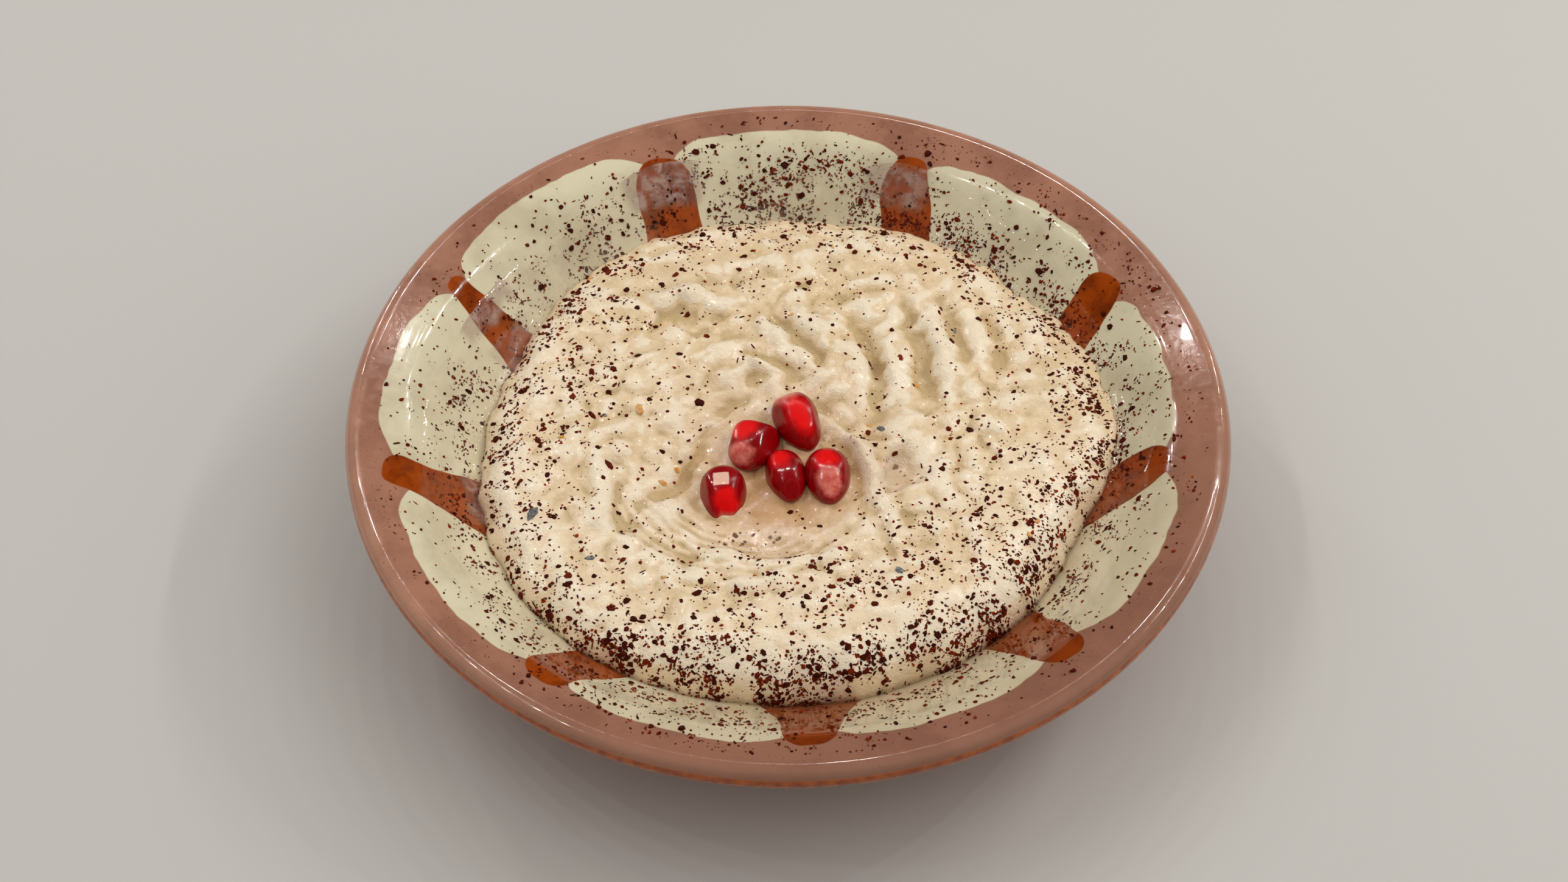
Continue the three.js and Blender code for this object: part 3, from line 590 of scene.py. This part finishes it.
def bit_material(name, light, dark):
    p = Paint(name, Roughness=0.25, Subsurface_Weight=0.2, Subsurface_Scale=0.001)
    p.put(Subsurface_Radius=(1.0, 0.6, 0.3), Normal=p.bump(p.noise(0.5), 0.08))
    p.put(Base_Color=p.over(light, dark, p.noise(0.9, 3, 0.6), 0.35, 0.65))
    return p.material


# ==== plate ====


def bend(distance, softness):
    """0 well before the bend and the distance past it well after, with a soft turn between."""
    return softness * np.logaddexp(0, np.asarray(distance, float) / softness)


def plate_rise(radius):
    wall = WALL_SLOPE * bend(radius - WALL_START, WALL_BEND)
    return wall - (WALL_SLOPE - FLANGE_SLOPE) * bend(radius - FLANGE_START, FLANGE_BEND)


LIP_X, LIP_Z = PLATE_RADIUS - LIP_RADIUS, PLATE_HEIGHT - LIP_RADIUS
LIP_ANGLE = math.pi / 2 + math.atan(FLANGE_SLOPE)
FLANGE_END = LIP_X + LIP_RADIUS * math.cos(LIP_ANGLE)
PLATE_FLOOR = LIP_Z + LIP_RADIUS * math.sin(LIP_ANGLE) - float(plate_rise(FLANGE_END))


def plate_top(radius):
    return PLATE_FLOOR + plate_rise(radius)


def plate_profile():
    """Radius, height and glaze of the profile, from the middle of the underside round to the middle inside.

    The glaze is positive on the painted inner side and negative on the plain underside, in millimetres.
    """
    underside = PLATE_FLOOR - PLATE_THICKNESS

    def foot_side(edge, way):
        yield edge - way * FOOT_ROUNDING, underside
        yield edge, underside - FOOT_ROUNDING
        yield edge + way * FOOT_DRAFT / 2, FOOT_ROUNDING
        yield edge + way * (FOOT_DRAFT + FOOT_BEVEL), 0.0

    foot = [(PROFILE_MIDDLE, underside), *foot_side(FOOT_INNER, 1), *list(foot_side(FOOT_OUTER, -1))[::-1]]
    radii = join([np.linspace(49.2, 70, 18), np.linspace(70.6, FLANGE_END, 14)[:-1]])
    slope = (plate_rise(radii + 0.01) - plate_rise(radii - 0.01)) / 0.02
    across = PLATE_THICKNESS / np.hypot(1, slope)
    under = np.stack([radii + slope * across, plate_top(radii) - across], -1)
    turns = np.linspace(LIP_ANGLE - math.pi, LIP_ANGLE, 25)
    lip = np.stack([LIP_X + LIP_RADIUS * np.cos(turns), LIP_Z + LIP_RADIUS * np.sin(turns)], -1)
    radii = join([np.linspace(FLANGE_END, 52, 56)[1:], np.linspace(51, 41, 12), [PROFILE_MIDDLE]])
    inside = np.stack([radii, plate_top(radii)], -1)
    plain = np.full(len(foot) + len(under), -FULL_GLAZE)
    edge = (turns - math.radians(GLAZE_ENDS)) * LIP_RADIUS
    glaze = join([plain, edge, np.full(len(inside), FULL_GLAZE)])
    return join([foot, under, lip, inside]), glaze


def along_line(x, y, x0, y0, x1, y1):
    """A line's length, and how far each point lies along it and to its left."""
    length = math.hypot(x1 - x0, y1 - y0)
    ux, uy = (x1 - x0) / length, (y1 - y0) / length
    return length, (x - x0) * ux + (y - y0) * uy, (y - y0) * ux - (x - x0) * uy


def stripe_distance(x, y):
    """How far a point lies inside the nearest brown stripe, in millimetres; negative outside."""
    best = np.full(np.shape(x), FAR_OUTSIDE)
    for *line, tip_width, end_width in STRIPES:
        length, along, across = along_line(x, y, *line)
        widened = np.clip(along / length, 0, 1.2) ** STRIPE_FLARE
        half = (tip_width + (end_width - tip_width) * widened) / 2
        into_tip = np.clip((half - along) / half, 0, None)
        corner = (into_tip**STRIPE_POWER + (np.abs(across) / half) ** STRIPE_POWER) ** (1 / STRIPE_POWER)
        inside = np.where(along < length + STRIPE_HIDDEN, (1 - corner) * half, FAR_OUTSIDE)
        best = np.maximum(best, inside)
    return best


def lobe_distance(x, y):
    """How far a point lies inside the pale field between two stripes."""
    radius, angle = polar(x, y)
    axes = np.array([math.atan2(s[1] + s[3], s[0] + s[2]) for s in STRIPES])
    best = np.full(np.shape(x), FAR_OUTSIDE)
    for start, end, reach in zip(axes, np.roll(axes, -1), LOBE_REACH):
        half = ((start - end) % TAU) / 2
        middle = start - half
        off = np.abs((angle - middle + math.pi) % TAU - math.pi) / half
        side = (1 - np.clip(off, 0, 1) ** LOBE_POWER) ** (1 / LOBE_POWER)
        edge = LOBE_FOOT + (reach - LOBE_FOOT) * side
        best = np.maximum(best, np.where(off <= 1, edge - radius, FAR_OUTSIDE))
    return best


def film_reach(angle):
    """Radius where the wet film round the dip ends on the plate's wall."""
    x, y = flat(MEAN_REACH, angle)
    bulges = sum(rise * hump(np.degrees(angle) - direction, width) for direction, width, rise in FILM_BULGES)
    return FILM_REACH + bulges + 1.2 * ripple(x, y, 22, 41) + 0.5 * ripple(x, y, 6, 42)


def smear_strength(x, y):
    """How milky the film is, from 0 to 1, broken up into patches."""
    radius, angle = np.hypot(x, y), np.degrees(np.arctan2(y, x)) % 360
    radius = radius + 0.9 * ripple(x, y, 5, 43) + 0.5 * ripple(x, y, 2, 44)
    total = np.zeros(np.shape(x))
    for direction, spread, inner, outer, strength in SMEARS:
        off = np.abs((angle - direction + 180) % 360 - 180)
        side = 1 - ease(0.75 * spread, 1.15 * spread, off)
        band_in = ease(inner - 0.7, inner + 0.9, radius)
        band_out = 1 - ease(outer - 0.8, outer + 0.6, radius)
        total = np.maximum(total, strength * side * (band_in * band_out))
    return total


def wobble(x, y, seed):
    """The unsteadiness of the painter's hand."""
    return 0.5 * ripple(x, y, 7, seed) + 0.2 * ripple(x, y, 2.5, seed + 1)


def add_plate():
    profile, glaze = plate_profile()
    angle = np.linspace(0, TAU, PLATE_SECTORS, endpoint=False)
    x, y = flat(profile[:, :1], angle)
    z = np.broadcast_to(profile[:, 1:], x.shape)
    painted_x, painted_y = x + wobble(x, y, 21), y + wobble(x, y, 23)
    points = np.stack([x, y, z], -1).reshape(-1, 3)
    rows = np.arange(len(points)).reshape(x.shape)
    faces = ring_faces(*x.shape) + fan(rows[0], len(points)) + fan(rows[-1], len(points) + 1)
    points = join([points, [[0, 0, profile[0, 1]], [0, 0, PLATE_FLOOR]]])

    def with_middles(values):
        return np.append(values, [0.0, 0.0])

    add_piece(
        "glazed_plate", points, faces, plate_material(), "glaze", "plate",
        stripe=with_middles(stripe_distance(painted_x, painted_y)),
        lobe=with_middles(lobe_distance(painted_x, painted_y)),
        film=with_middles(film_reach(np.arctan2(y, x)) - np.hypot(x, y)),
        glaze=np.append(np.repeat(glaze, PLATE_SECTORS), [-FULL_GLAZE, FULL_GLAZE]),
        # painted shade, growing towards the near right side of the plate
        dusk=with_middles(ease(5, 75, 0.5 * x - 0.87 * y)),
        # painted highlight along the lip
        thin=with_middles(ease(79.6, 81.4, np.hypot(x, y))),
    )


# ==== dip ====


def dip_reach(angle):
    """Smooth closed curve through the edge radii: a Catmull-Rom spline over the angle."""
    count = len(DIP_REACH)
    place = (np.asarray(angle) / TAU + 1) * count
    start = np.floor(place).astype(int)
    t = place - start
    radii = np.array(DIP_REACH)
    before, at, to, after = (radii[(start + step) % count] for step in (-1, 0, 1, 2))
    straight = 2 * at + (to - before) * t
    curve = (2 * before - 5 * at + 4 * to - after) * t**2
    twist = (3 * at - before - 3 * to + after) * t**3
    return (straight + curve + twist) / 2


def ragged_reach(angle):
    """The edge with the small bulges of a thick paste."""
    x, y = flat(MEAN_REACH, angle)
    return dip_reach(angle) + 0.7 * ripple(x, y, 7, 31) + 0.35 * ripple(x, y, 2.6, 32)


def mark_distance(x, y, *line):
    """Distance from a line, stretched past its ends so that a mark tapers out."""
    length, along, across = along_line(x, y, *line)
    beyond = np.abs(along - np.clip(along, 0.15 * length, 0.85 * length))
    return np.hypot(across, MARK_FADES * beyond)


def pool_distance(pool, x, y):
    return np.hypot((x - pool["x"]) / pool["rx"], (y - pool["y"]) / pool["ry"])


def warped(x, y, size, scale, seed):
    """The place moved about by smooth noise."""
    return x + size * ripple(x, y, scale, seed), y + size * ripple(x, y, scale, seed + 1)


def spoon_relief(x, y):
    height = 0.0
    x, y = warped(*warped(x, y, 1.5, 9, 12), 0.5, 3, 15)
    for *line, width, rise in SPOON_MARKS:
        height = height + rise * hump(mark_distance(x, y, *line), width)
    height = height * (1 + 0.45 * ripple(x, y, 7, 14))
    for lump_x, lump_y, width, rise in LUMPS:
        height = height + rise * hump(np.hypot(x - lump_x, y - lump_y), width)
    for pool in POOLS.values():
        height = height - pool["hollow"] * np.exp(-(pool_distance(pool, x, y) ** 4))
    return height


def paste_waves(x, y):
    """Gentle unevenness of a thick paste, as crossing waves."""
    broad = np.sin(0.31 * x + 0.17 * y + 1.1) + np.sin(-0.13 * x + 0.36 * y + 4.0)
    short = np.sin(0.62 * x - 0.41 * y + 0.6) * np.sin(0.35 * x + 0.73 * y + 2.3)
    return 0.22 * broad + 0.2 * short


def seed_closeness(x, y):
    """1 beside a seed, falling to 0 about a millimetre away from it."""
    closeness = np.zeros(np.shape(x))
    for seed in SEEDS.values():
        across, along = turned(x - seed["x"], y - seed["y"], -seed["turn"])
        half_length, half_width = 0.46 * seed["size"][0], 0.46 * seed["size"][1]
        gap = (np.hypot(along / half_length, across / half_width) - 1) * half_width
        closeness = np.maximum(closeness, np.exp(-np.clip(gap, 0, None) / 0.7))
    return closeness


def paste_lumps(x, y):
    """Small lumps and creases, smoothed away in the pools."""
    wx, wy = warped(x, y, 1.3, 8, 1)
    lumps = 1.0 * np.abs(ripple(wx, wy, 6.4, 3)) + 0.26 * np.abs(ripple(wx, wy, 2.7, 4)) - 0.34
    lumps = lumps + 0.18 * ripple(wx, wy, 2.6, 9) + 0.06 * ripple(wx, wy, 1.2, 5)
    crease = np.clip(1 - np.abs(ripple(wx, wy, 9, 6)) * 5, 0, 1) ** 2
    lumps = lumps - 0.32 * crease * ease(-0.1, 0.5, ripple(x, y, 14, 7))
    # the spoon smoothed the shoulder most
    calm = 1 - 0.5 * ease(0.6, 0.88, np.hypot(x, y) / dip_reach(np.arctan2(y, x)))
    for pool in POOLS.values():
        calm = calm * ease(0.7, 1.25, pool_distance(pool, x, y))
    return lumps * calm


def spoon_streaks(x, y):
    """Fine lines that the spoon drew round the near left of the well."""
    dx, dy = x + 8, y + 9
    reach = np.hypot(dx, dy * 1.12)
    turn = np.degrees(np.arctan2(dy, dx))
    side = ease(-175, -150, turn) * (1 - ease(-60, -30, turn))
    ring = ease(12, 16, reach) * (1 - ease(25, 29, reach))
    return STREAK_DEPTH * side * ring * np.sin(reach * 3.1 + 1.5 * ripple(x, y, 6, 11))


def dip_surface(x, y):
    radius, angle = polar(x, y)
    reach = ragged_reach(angle)
    well = np.hypot((x - WELL_X) / WELL_RX, (y - WELL_Y) / WELL_RY)
    full = DIP_LEVEL - DIP_TILT * y - WELL_DEPTH * np.exp(-(well**3)) + spoon_relief(x, y)
    full = full + paste_waves(x, y) + paste_lumps(x, y) + spoon_streaks(x, y)
    full = full + SEED_RISE * seed_closeness(x, y)
    edge = plate_top(reach) - SUNK
    inward = np.clip((reach - radius) / SHOULDER_WIDTH, 0, 1)
    shoulder = (1 - (1 - inward) ** SHOULDER_POWER) ** (1 / SHOULDER_POWER)
    return edge + (full - edge) * shoulder


def concentric_grid(cells):
    """Points of a square grid moved onto the unit disc with nearly even spacing."""
    line = np.linspace(-1, 1, cells + 1)
    a, b = np.meshgrid(line, line, indexing="ij")
    wide = np.abs(a) > np.abs(b)
    safe_a, safe_b = np.where(a == 0, 1e-9, a), np.where(b == 0, 1e-9, b)
    angle = np.where(wide, math.pi / 4 * b / safe_a, math.pi / 2 - math.pi / 4 * a / safe_b)
    return flat(np.where(wide, a, b), angle)


def box_blur(grid, reach):
    """Mean over a square of cells round each cell of a grid."""
    side = 2 * reach + 1
    for _ in "xy":
        total = np.cumsum(np.pad(grid, ((reach + 1, reach), (0, 0)), mode="edge"), 0)
        grid = ((total[side:] - total[:-side]) / side).T
    return grid


def dents(height):
    """How far each point of the grid lies below its surroundings, near and wide, in millimetres."""
    return (box_blur(height, 3) - height) * 1.6 + (box_blur(box_blur(height, 9), 6) - height)


def add_dip():
    unit_x, unit_y = concentric_grid(DIP_GRID)
    angle = np.arctan2(unit_y, unit_x)
    reach = ragged_reach(angle)
    radius = np.hypot(unit_x, unit_y) * reach
    x, y = flat(radius, angle)
    z = dip_surface(x, y)
    numbers = np.arange(x.size).reshape(x.shape)
    a, b, c, d = numbers[:-1, :-1], numbers[1:, :-1], numbers[1:, 1:], numbers[:-1, 1:]
    faces = np.stack([a, b, c, d], -1).reshape(-1, 4).tolist()
    row = join([numbers[-1, :-1], numbers[:0:-1, -1], numbers[0, :0:-1], numbers[:-1, 0]])
    border_angle = np.arctan2(y.ravel()[row], x.ravel()[row])
    points = [np.stack([x, y, z], -1).reshape(-1, 3)]
    count = x.size
    for ring_radius in DIP_UNDER_RADII:
        bottom = np.full(len(row), plate_top(ring_radius) - SUNK)
        points.append(np.stack([*flat(ring_radius, border_angle), bottom], -1))
        inner = np.arange(count, count + len(row))
        faces += band(row, inner)
        row = inner
        count += len(row)
    points.append([[0, 0, PLATE_FLOOR - SUNK]])
    faces += fan(row, count)
    low = np.zeros(count + 1 - x.size)
    near, far = (np.hypot((x + 2) / rx, (y - my) / ry) ** power for my, rx, ry, power in STAINS)
    add_piece(
        "aubergine_dip", join(points), faces, dip_material(), "dip", "dip",
        # how deep each point lies in a dent, for the oil and painted shade in dents and the painted
        # highlight on crests
        dent=np.append(dents(z) * ease(1.0, 4.0, reach - radius), low),
        well=np.append(0.45 * np.exp(-near) + 0.55 * np.exp(-far), low),
        oily=np.append(ease(-6, 34, y + 0.3 * x + 7 * ripple(x, y, 16, 8)), low),
    )


# ==== film and oil ====


def add_film():
    """A thin layer up the wall, with a rounded outer edge and a rise at the dip."""
    angle = np.linspace(0, TAU, PLATE_SECTORS, endpoint=False)
    inner, outer = ragged_reach(angle) - FILM_TUCK, film_reach(angle)
    shares = join([np.linspace(0, 0.9, 22), 1 - np.linspace(0.08, 0, 7) ** 1.5])
    radius = inner + (outer - inner) * shares[:, None]
    x, y = flat(radius, angle)
    from_edge = np.clip(outer - radius, 0, None)
    rounded = np.sqrt(np.clip(1 - (1 - np.clip(from_edge / 0.8, 0, 1)) ** 2, 0, 1))
    depth = FILM_DEPTH * rounded + 0.05 * ripple(x, y, 2.2, 45) * rounded - SUNK
    depth = depth + FILM_CLIMB * np.exp(-((radius - inner - FILM_TUCK) / 0.8).clip(0, None) ** 1.3)
    top = np.stack([x, y, plate_top(radius) + depth], -1).reshape(-1, 3)
    under = np.stack([x, y, plate_top(radius) - SUNK - 0.1], -1).reshape(-1, 3)
    last = np.arange(len(top))[-PLATE_SECTORS:][::-1]
    faces = layer_faces(*x.shape) + band(last, last + len(top))
    smear, rim = smear_strength(x, y), hump(from_edge - 0.25, 0.3)
    add_piece(
        "juice_film", join([top, under]), faces, film_material(), "oil",
        smear=np.append(smear, smear), rim=np.append(rim, rim * 0),
    )


def add_pool(name, material):
    """A lens of oil with a level top. Its edge runs just into the dip round it."""
    pool = POOLS[name]
    brim = float(dip_surface(np.array(pool["x"]), np.array(pool["y"]))) + pool["hollow"] - pool["below"]
    shares = np.linspace(1.3, 0.05, 26)
    angle = np.linspace(0, TAU, POOL_SECTORS, endpoint=False)
    x = pool["x"] + pool["rx"] * np.outer(shares, np.cos(angle))
    y = pool["y"] + pool["ry"] * np.outer(shares, np.sin(angle))
    deep = np.clip(brim - dip_surface(x, y), 0, None)
    top = np.stack([x, y, brim + 0.04 * ripple(x, y, 2, 51)], -1).reshape(-1, 3)
    down = np.array([0, 0, POOL_DEPTH])
    middle = np.array([pool["x"], pool["y"], brim])
    last, end = np.arange(len(top))[-POOL_SECTORS:], 2 * len(top)
    faces = layer_faces(*x.shape) + fan(last, end) + fan(last[::-1] + len(top), end + 1)
    add_piece(
        name.replace("oil_pool", "oil"), join([top, top - down, [middle, middle - down]]), faces,
        material, "oil", name, deep=join([deep.ravel(), deep.ravel(), [deep.max()] * 2]),
    )


# ==== flakes and bits ====


def chips(draw, x, y, surface, length, width, turn, lift, tilt=22):
    """Points and faces of irregular flat chips that lie on a surface, turned in degrees."""
    count, n = len(x), FLAKE_SIDES
    side = (np.arange(n) / n + draw.uniform(-0.05, 0.05, (count, n))) * TAU
    rough = draw.uniform(*FLAKE_RAGGED, (count, n))
    flat_x = length[:, None] / 2 * rough * np.cos(side)
    flat_y = width[:, None] / 2 * rough * np.sin(side)
    thick = width * draw.uniform(*FLAKE_THICKNESS, count)
    shrink = draw.uniform(*FLAKE_TAPER, (count, 1))
    rise = np.repeat(thick[:, None] * 0.5, n, 1)
    uneven = draw.uniform(-0.2, 0.2, (count, n)) * thick[:, None]
    a = join([flat_x, flat_x * shrink], 1)
    b = join([flat_y, flat_y * shrink], 1)
    c = join([-rise, rise + uneven], 1)
    a, b = turned(a, b, turn[:, None])
    z = surface(x, y)
    slope_x = (surface(x + SLOPE_STEP, y) - surface(x - SLOPE_STEP, y)) / (2 * SLOPE_STEP)
    slope_y = (surface(x, y + SLOPE_STEP) - surface(x, y - SLOPE_STEP)) / (2 * SLOPE_STEP)
    slope_x = slope_x + np.tan(np.radians(draw.normal(0, tilt / 2, count)))
    slope_y = slope_y + np.tan(np.radians(draw.normal(0, tilt / 2, count)))
    normal = np.stack([-slope_x, -slope_y, np.ones(count)], -1)
    normal /= np.linalg.norm(normal, axis=1, keepdims=True)
    across = np.cross(normal, [0, 1, 0])
    across /= np.linalg.norm(across, axis=1, keepdims=True)
    along = np.cross(normal, across)
    points = (np.stack([x, y, z], -1) + normal * (lift * thick)[:, None])[:, None]
    for amount, way in ((-a, across), (b, along), (c, normal)):
        points = points + amount[..., None] * way[:, None]
    start = (np.arange(count) * 2 * n)[:, None]
    sides = [[k, (k + 1) % n, n + (k + 1) % n, n + k] for k in range(n)]
    faces = []
    for corners in (*sides, np.arange(n)[::-1], n + np.arange(n)):
        faces += (start + corners).tolist()
    return points.reshape(-1, 3), faces


def by_direction(table, places, angle, place):
    """Flakes per square millimetre, from a table that has a row for each of twelve directions."""
    rows = np.array(table) / 100
    step = (angle / TAU * len(rows)) % len(rows)
    low = np.floor(step).astype(int) % len(rows)
    share = step - np.floor(step)
    values = np.stack([np.interp(place, places, row) for row in rows])
    index = np.arange(len(place))
    return values[low, index] * (1 - share) + values[(low + 1) % len(rows), index] * share


def dip_sumac(x, y):
    """Flakes over the dip in plan, more of them where its skin is steep."""
    radius, angle = polar(x, y)
    inner = 1 - STEEP_STEP / radius
    drop = (dip_surface(x * inner, y * inner) - dip_surface(x, y)) / STEEP_STEP
    steep = np.hypot(1, np.clip(drop, 0, STEEPEST))
    allowed = (radius < ragged_reach(angle) - SIDE_BAND) & (seed_closeness(x, y) < CLEAR_OF_SEEDS)
    return allowed * steep * by_direction(DIP_SUMAC, DIP_SUMAC_AT, angle, radius / dip_reach(angle))


def plate_sumac(x, y):
    radius, angle = polar(x, y)
    allowed = radius > ragged_reach(angle) + CLEAR_OF_DIP
    return allowed * by_direction(PLATE_SUMAC, PLATE_SUMAC_AT, angle, radius - dip_reach(angle))


def flake_clumps(x, y):
    """How much denser the flakes lie in their loose clusters."""
    return np.clip(1 + 1.5 * ripple(x, y, 5.5, 61) + 1.0 * ripple(x, y, 2.0, 62), 0.05, 4)


def rim_places(draw, tries):
    """Places on the dip's steep side, drawn evenly over its height and kept by the density."""
    angle, height = TAU * draw.random(tries), SIDE_SHARE * draw.random(tries)
    inward = SHOULDER_WIDTH * (1 - (1 - height**SHOULDER_POWER) ** (1 / SHOULDER_POWER))
    x, y = flat(ragged_reach(angle) - inward, angle)
    area = TAU * MEAN_REACH * SIDE_SHARE * SIDE_HEIGHT
    wanted = SIDE_FLAKES * by_direction(DIP_SUMAC, DIP_SUMAC_AT, angle, np.full(tries, 0.97))
    wanted = wanted * flake_clumps(x, y) * (0.2 + 0.8 * ease(0.2, 0.8, -np.sin(angle)))
    keep = draw.random(tries) * tries / area < wanted
    return x[keep], y[keep]


def scatter(draw, tries, outer, density):
    """Places drawn evenly over a disc and kept by the density, in pieces per square millimetre."""
    radius = outer * np.sqrt(draw.random(tries))
    x, y = flat(radius, TAU * draw.random(tries))
    area = math.pi * outer**2
    keep = draw.random(tries) * tries / area < density(x, y) * flake_clumps(x, y)
    return x[keep], y[keep]


def places_on_dip(draw):
    return np.append(scatter(draw, DIP_TRIES, DIP_OUTER, dip_sumac), rim_places(draw, SIDE_TRIES), 1)


def places_on_plate(draw):
    return scatter(draw, PLATE_TRIES, PLATE_OUTER, plate_sumac)


def on_film(x, y):
    return plate_top(np.hypot(x, y)) + FLAKES_IN_FILM


def add_flakes(name, seed, places, surface, middle, spread, largest, singles):
    draw = np.random.default_rng(seed)
    x, y = places(draw)
    count = len(x)
    length = np.clip(middle * np.exp(draw.normal(0, spread, count)), SMALLEST_FLAKE, largest)
    width = length * draw.uniform(*FLAKE_WIDTH, count)
    slivers = draw.random(count) < SLIVER_SHARE
    length = np.where(slivers, np.clip(length * 1.7, 0, largest), length)
    width = np.where(slivers, np.clip(0.24 * length, 0.1, None), width)
    turn = draw.uniform(0, 360, count)
    tone = np.clip(draw.beta(1.6, 2.8, count) + 0.3 * (0.55 - length), 0, 1)
    scattered = np.stack([x, y, length, width, turn, tone])
    x, y, length, width, turn, tone = np.append(scattered, np.reshape(singles, (-1, 6)).T, 1)
    points, faces = chips(draw, x, y, surface, length, width, turn, FLAKE_LIFT)
    tone = np.repeat(tone, 2 * FLAKE_SIDES)
    add_piece(name, points, faces, flake_material(), "sumac", smooth=False, tone=tone)


def add_bits(name, seed, rows, material):
    draw = np.random.default_rng(seed)
    x, y, length, width, turn = np.array(rows).T
    points, faces = chips(draw, x, y, dip_surface, length, width, turn, BIT_LIFT, BIT_TILT)
    add_piece(name, points, faces, material, "dip", smooth=False)


# ==== seeds ====


def seed_body(seed):
    """A round body with flats in its own frame, and the share of each flat in each point."""
    rings, sectors = SEED_MESH
    polar_angle = np.linspace(0, math.pi, rings + 2)[1:-1][:, None]
    around = np.linspace(0, TAU, sectors, endpoint=False)[None, :]
    across = np.sin(polar_angle)
    ways = np.stack([across * np.cos(around), np.cos(polar_angle) + 0 * around, across * np.sin(around)], -1)
    ways = join([ways.reshape(-1, 3), [[0, 1, 0], [0, -1, 0]]])
    length, width, thickness = seed["size"]
    half = np.array([width, length, thickness]) / 2
    weights = [(1 / np.linalg.norm(ways / half, axis=1)) ** -FACET_SHARPNESS]
    for direction, lean, left in seed["facets"]:
        turn, rise = math.radians(direction), math.radians(lean)
        normal = np.array([math.cos(turn) * math.cos(rise), math.sin(rise), math.sin(turn) * math.cos(rise)])
        reach = left * np.linalg.norm(normal * half)
        facing = np.clip(ways @ normal, 1e-3, None)
        weights.append((reach / facing) ** -FACET_SHARPNESS)
    weights = np.stack(weights)
    total = weights.sum(0)
    local = ways * (total ** (-1 / FACET_SHARPNESS))[:, None]
    local[:, [0, 2]] *= 1 + SEED_TAPER * local[:, 1:2] / half[1]
    rows, ends = np.arange(rings * sectors).reshape(rings, sectors), rings * sectors
    faces = ring_faces(rings, sectors) + fan(rows[0], ends) + fan(rows[-1], ends + 1)
    return local, faces, weights / total, half


def spot(u, v, place):
    """How strongly a spot shows at the given shares of a seed's half width and half length."""
    across, along, half_width, half_length, strength = place
    off = ((u - across) / half_width) ** 2 + ((v - along) / half_length) ** 2
    return strength * np.exp(-(off**1.6))


def add_seed(name, material):
    seed = SEEDS[name]
    local, faces, shares, half = seed_body(seed)
    u, v, w = (local / half).T
    x, y, z = local.T
    u, v = (part + 0.12 * ripple(x + 9 * seed["x"], y, 2.4, draw) for part, draw in ((u, 71), (v, 72)))
    top = ease(-0.3, 0.4, w)
    # the square of the painted window reflection
    square = 1 - ease(1.35, 1.6, np.maximum(np.abs(x + 0.3), np.abs(y - 1.9)))
    spots = dict(
        # painted glow on the seed's top, where light would gather
        painted_glow=spot(u, v, seed["bright"]) * top,
        pale=spot(u, v, seed["pale"]) * top,
        # painted highlight along the facet edges
        edge=(1 - ease(0.5, 0.62, shares.max(0))) * top,
        base=1 - ease(-0.35, 0.15, w),
        painted_window_reflection=square * top * (name == WINDOW_REFLECTION_SEED),
    )
    y, z = turned(y, z, seed["tilt"])
    x, y = turned(x, y, seed["turn"])
    points = np.stack([x + seed["x"], y + seed["y"], z + seed["z"]], -1)
    add_piece(name.replace("seed", "pomegranate"), points, faces, material, "seed", name, **spots)


# ==== floor, light and camera ====


def add_stage():
    material = Paint("floor", Base_Color=srgb(*FLOOR_COLOUR), Roughness=0.6).material
    corners = [[x * FLOOR_HALF, y * FLOOR_HALF, 0] for x, y in ((-1, -1), (1, -1), (1, 1), (-1, 1))]
    add_piece("floor", corners, [[0, 1, 2, 3]], material, smooth=False)


def add_light(name, place, size, power, shows):
    """A square lamp that points at the plate."""
    light = bpy.data.lights.new(name, "AREA")
    light.shape = "RECTANGLE"
    light.size = light.size_y = size
    light.energy = power
    light.color = LAMP_COLOUR
    lamp = bpy.data.objects.new(name, light)
    lamp.visible_glossy = shows
    bpy.context.scene.collection.objects.link(lamp)
    lamp.location = place
    lamp.rotation_euler = Vector((-place[0], -place[1], 0.02 - place[2])).to_track_quat("-Z", "Y").to_euler()


def add_lights():
    for name, (place, size, power) in SOFT_LAMPS.items():
        add_light(name, place, size, power, False)
    for name, (start, end, count, power) in LAMP_ROWS.items():
        for place in np.linspace(start, end, count):
            add_light(name, tuple(place), LAMP_DOT, power, True)
    world = bpy.data.worlds.new("studio")
    world.use_nodes = True
    background = world.node_tree.nodes["Background"]
    background.inputs["Color"].default_value = (1.0, 0.98, 0.95, 1)
    background.inputs["Strength"].default_value = WORLD_LIGHT
    bpy.context.scene.world = world
    bpy.context.scene.view_settings.view_transform = "Standard"


def add_camera():
    """Looks down on the plate at 50 degrees, as the photograph does."""
    camera = bpy.data.cameras.new("camera")
    camera.sensor_width, camera.lens = CAMERA_FILM, CAMERA_LENS
    holder = bpy.data.objects.new("camera", camera)
    holder.location = CAMERA_PLACE
    holder.rotation_euler = (math.radians(CAMERA_TILT), 0, 0)
    bpy.context.scene.collection.objects.link(holder)
    bpy.context.scene.camera = holder


def main():
    add_plate()
    add_dip()
    add_film()
    add_flakes("sumac_on_dip", 5, places_on_dip, dip_surface, *DIP_FLAKE_SIZES, LARGE_FLAKES)
    add_flakes("sumac_on_plate", 6, places_on_plate, on_film, *PLATE_FLAKE_SIZES, [])
    oil, seed = oil_material(), seed_material()
    for name in POOLS:
        add_pool(name, oil)
    for name in SEEDS:
        add_seed(name, seed)
    add_bits("amber_bits", 7, AMBER_BITS, bit_material("amber", (226, 176, 98), (200, 134, 62)))
    add_bits("skin_bits", 8, SKIN_BITS, bit_material("skin", (140, 142, 138), (66, 68, 74)))
    add_stage()
    add_lights()
    add_camera()


main()
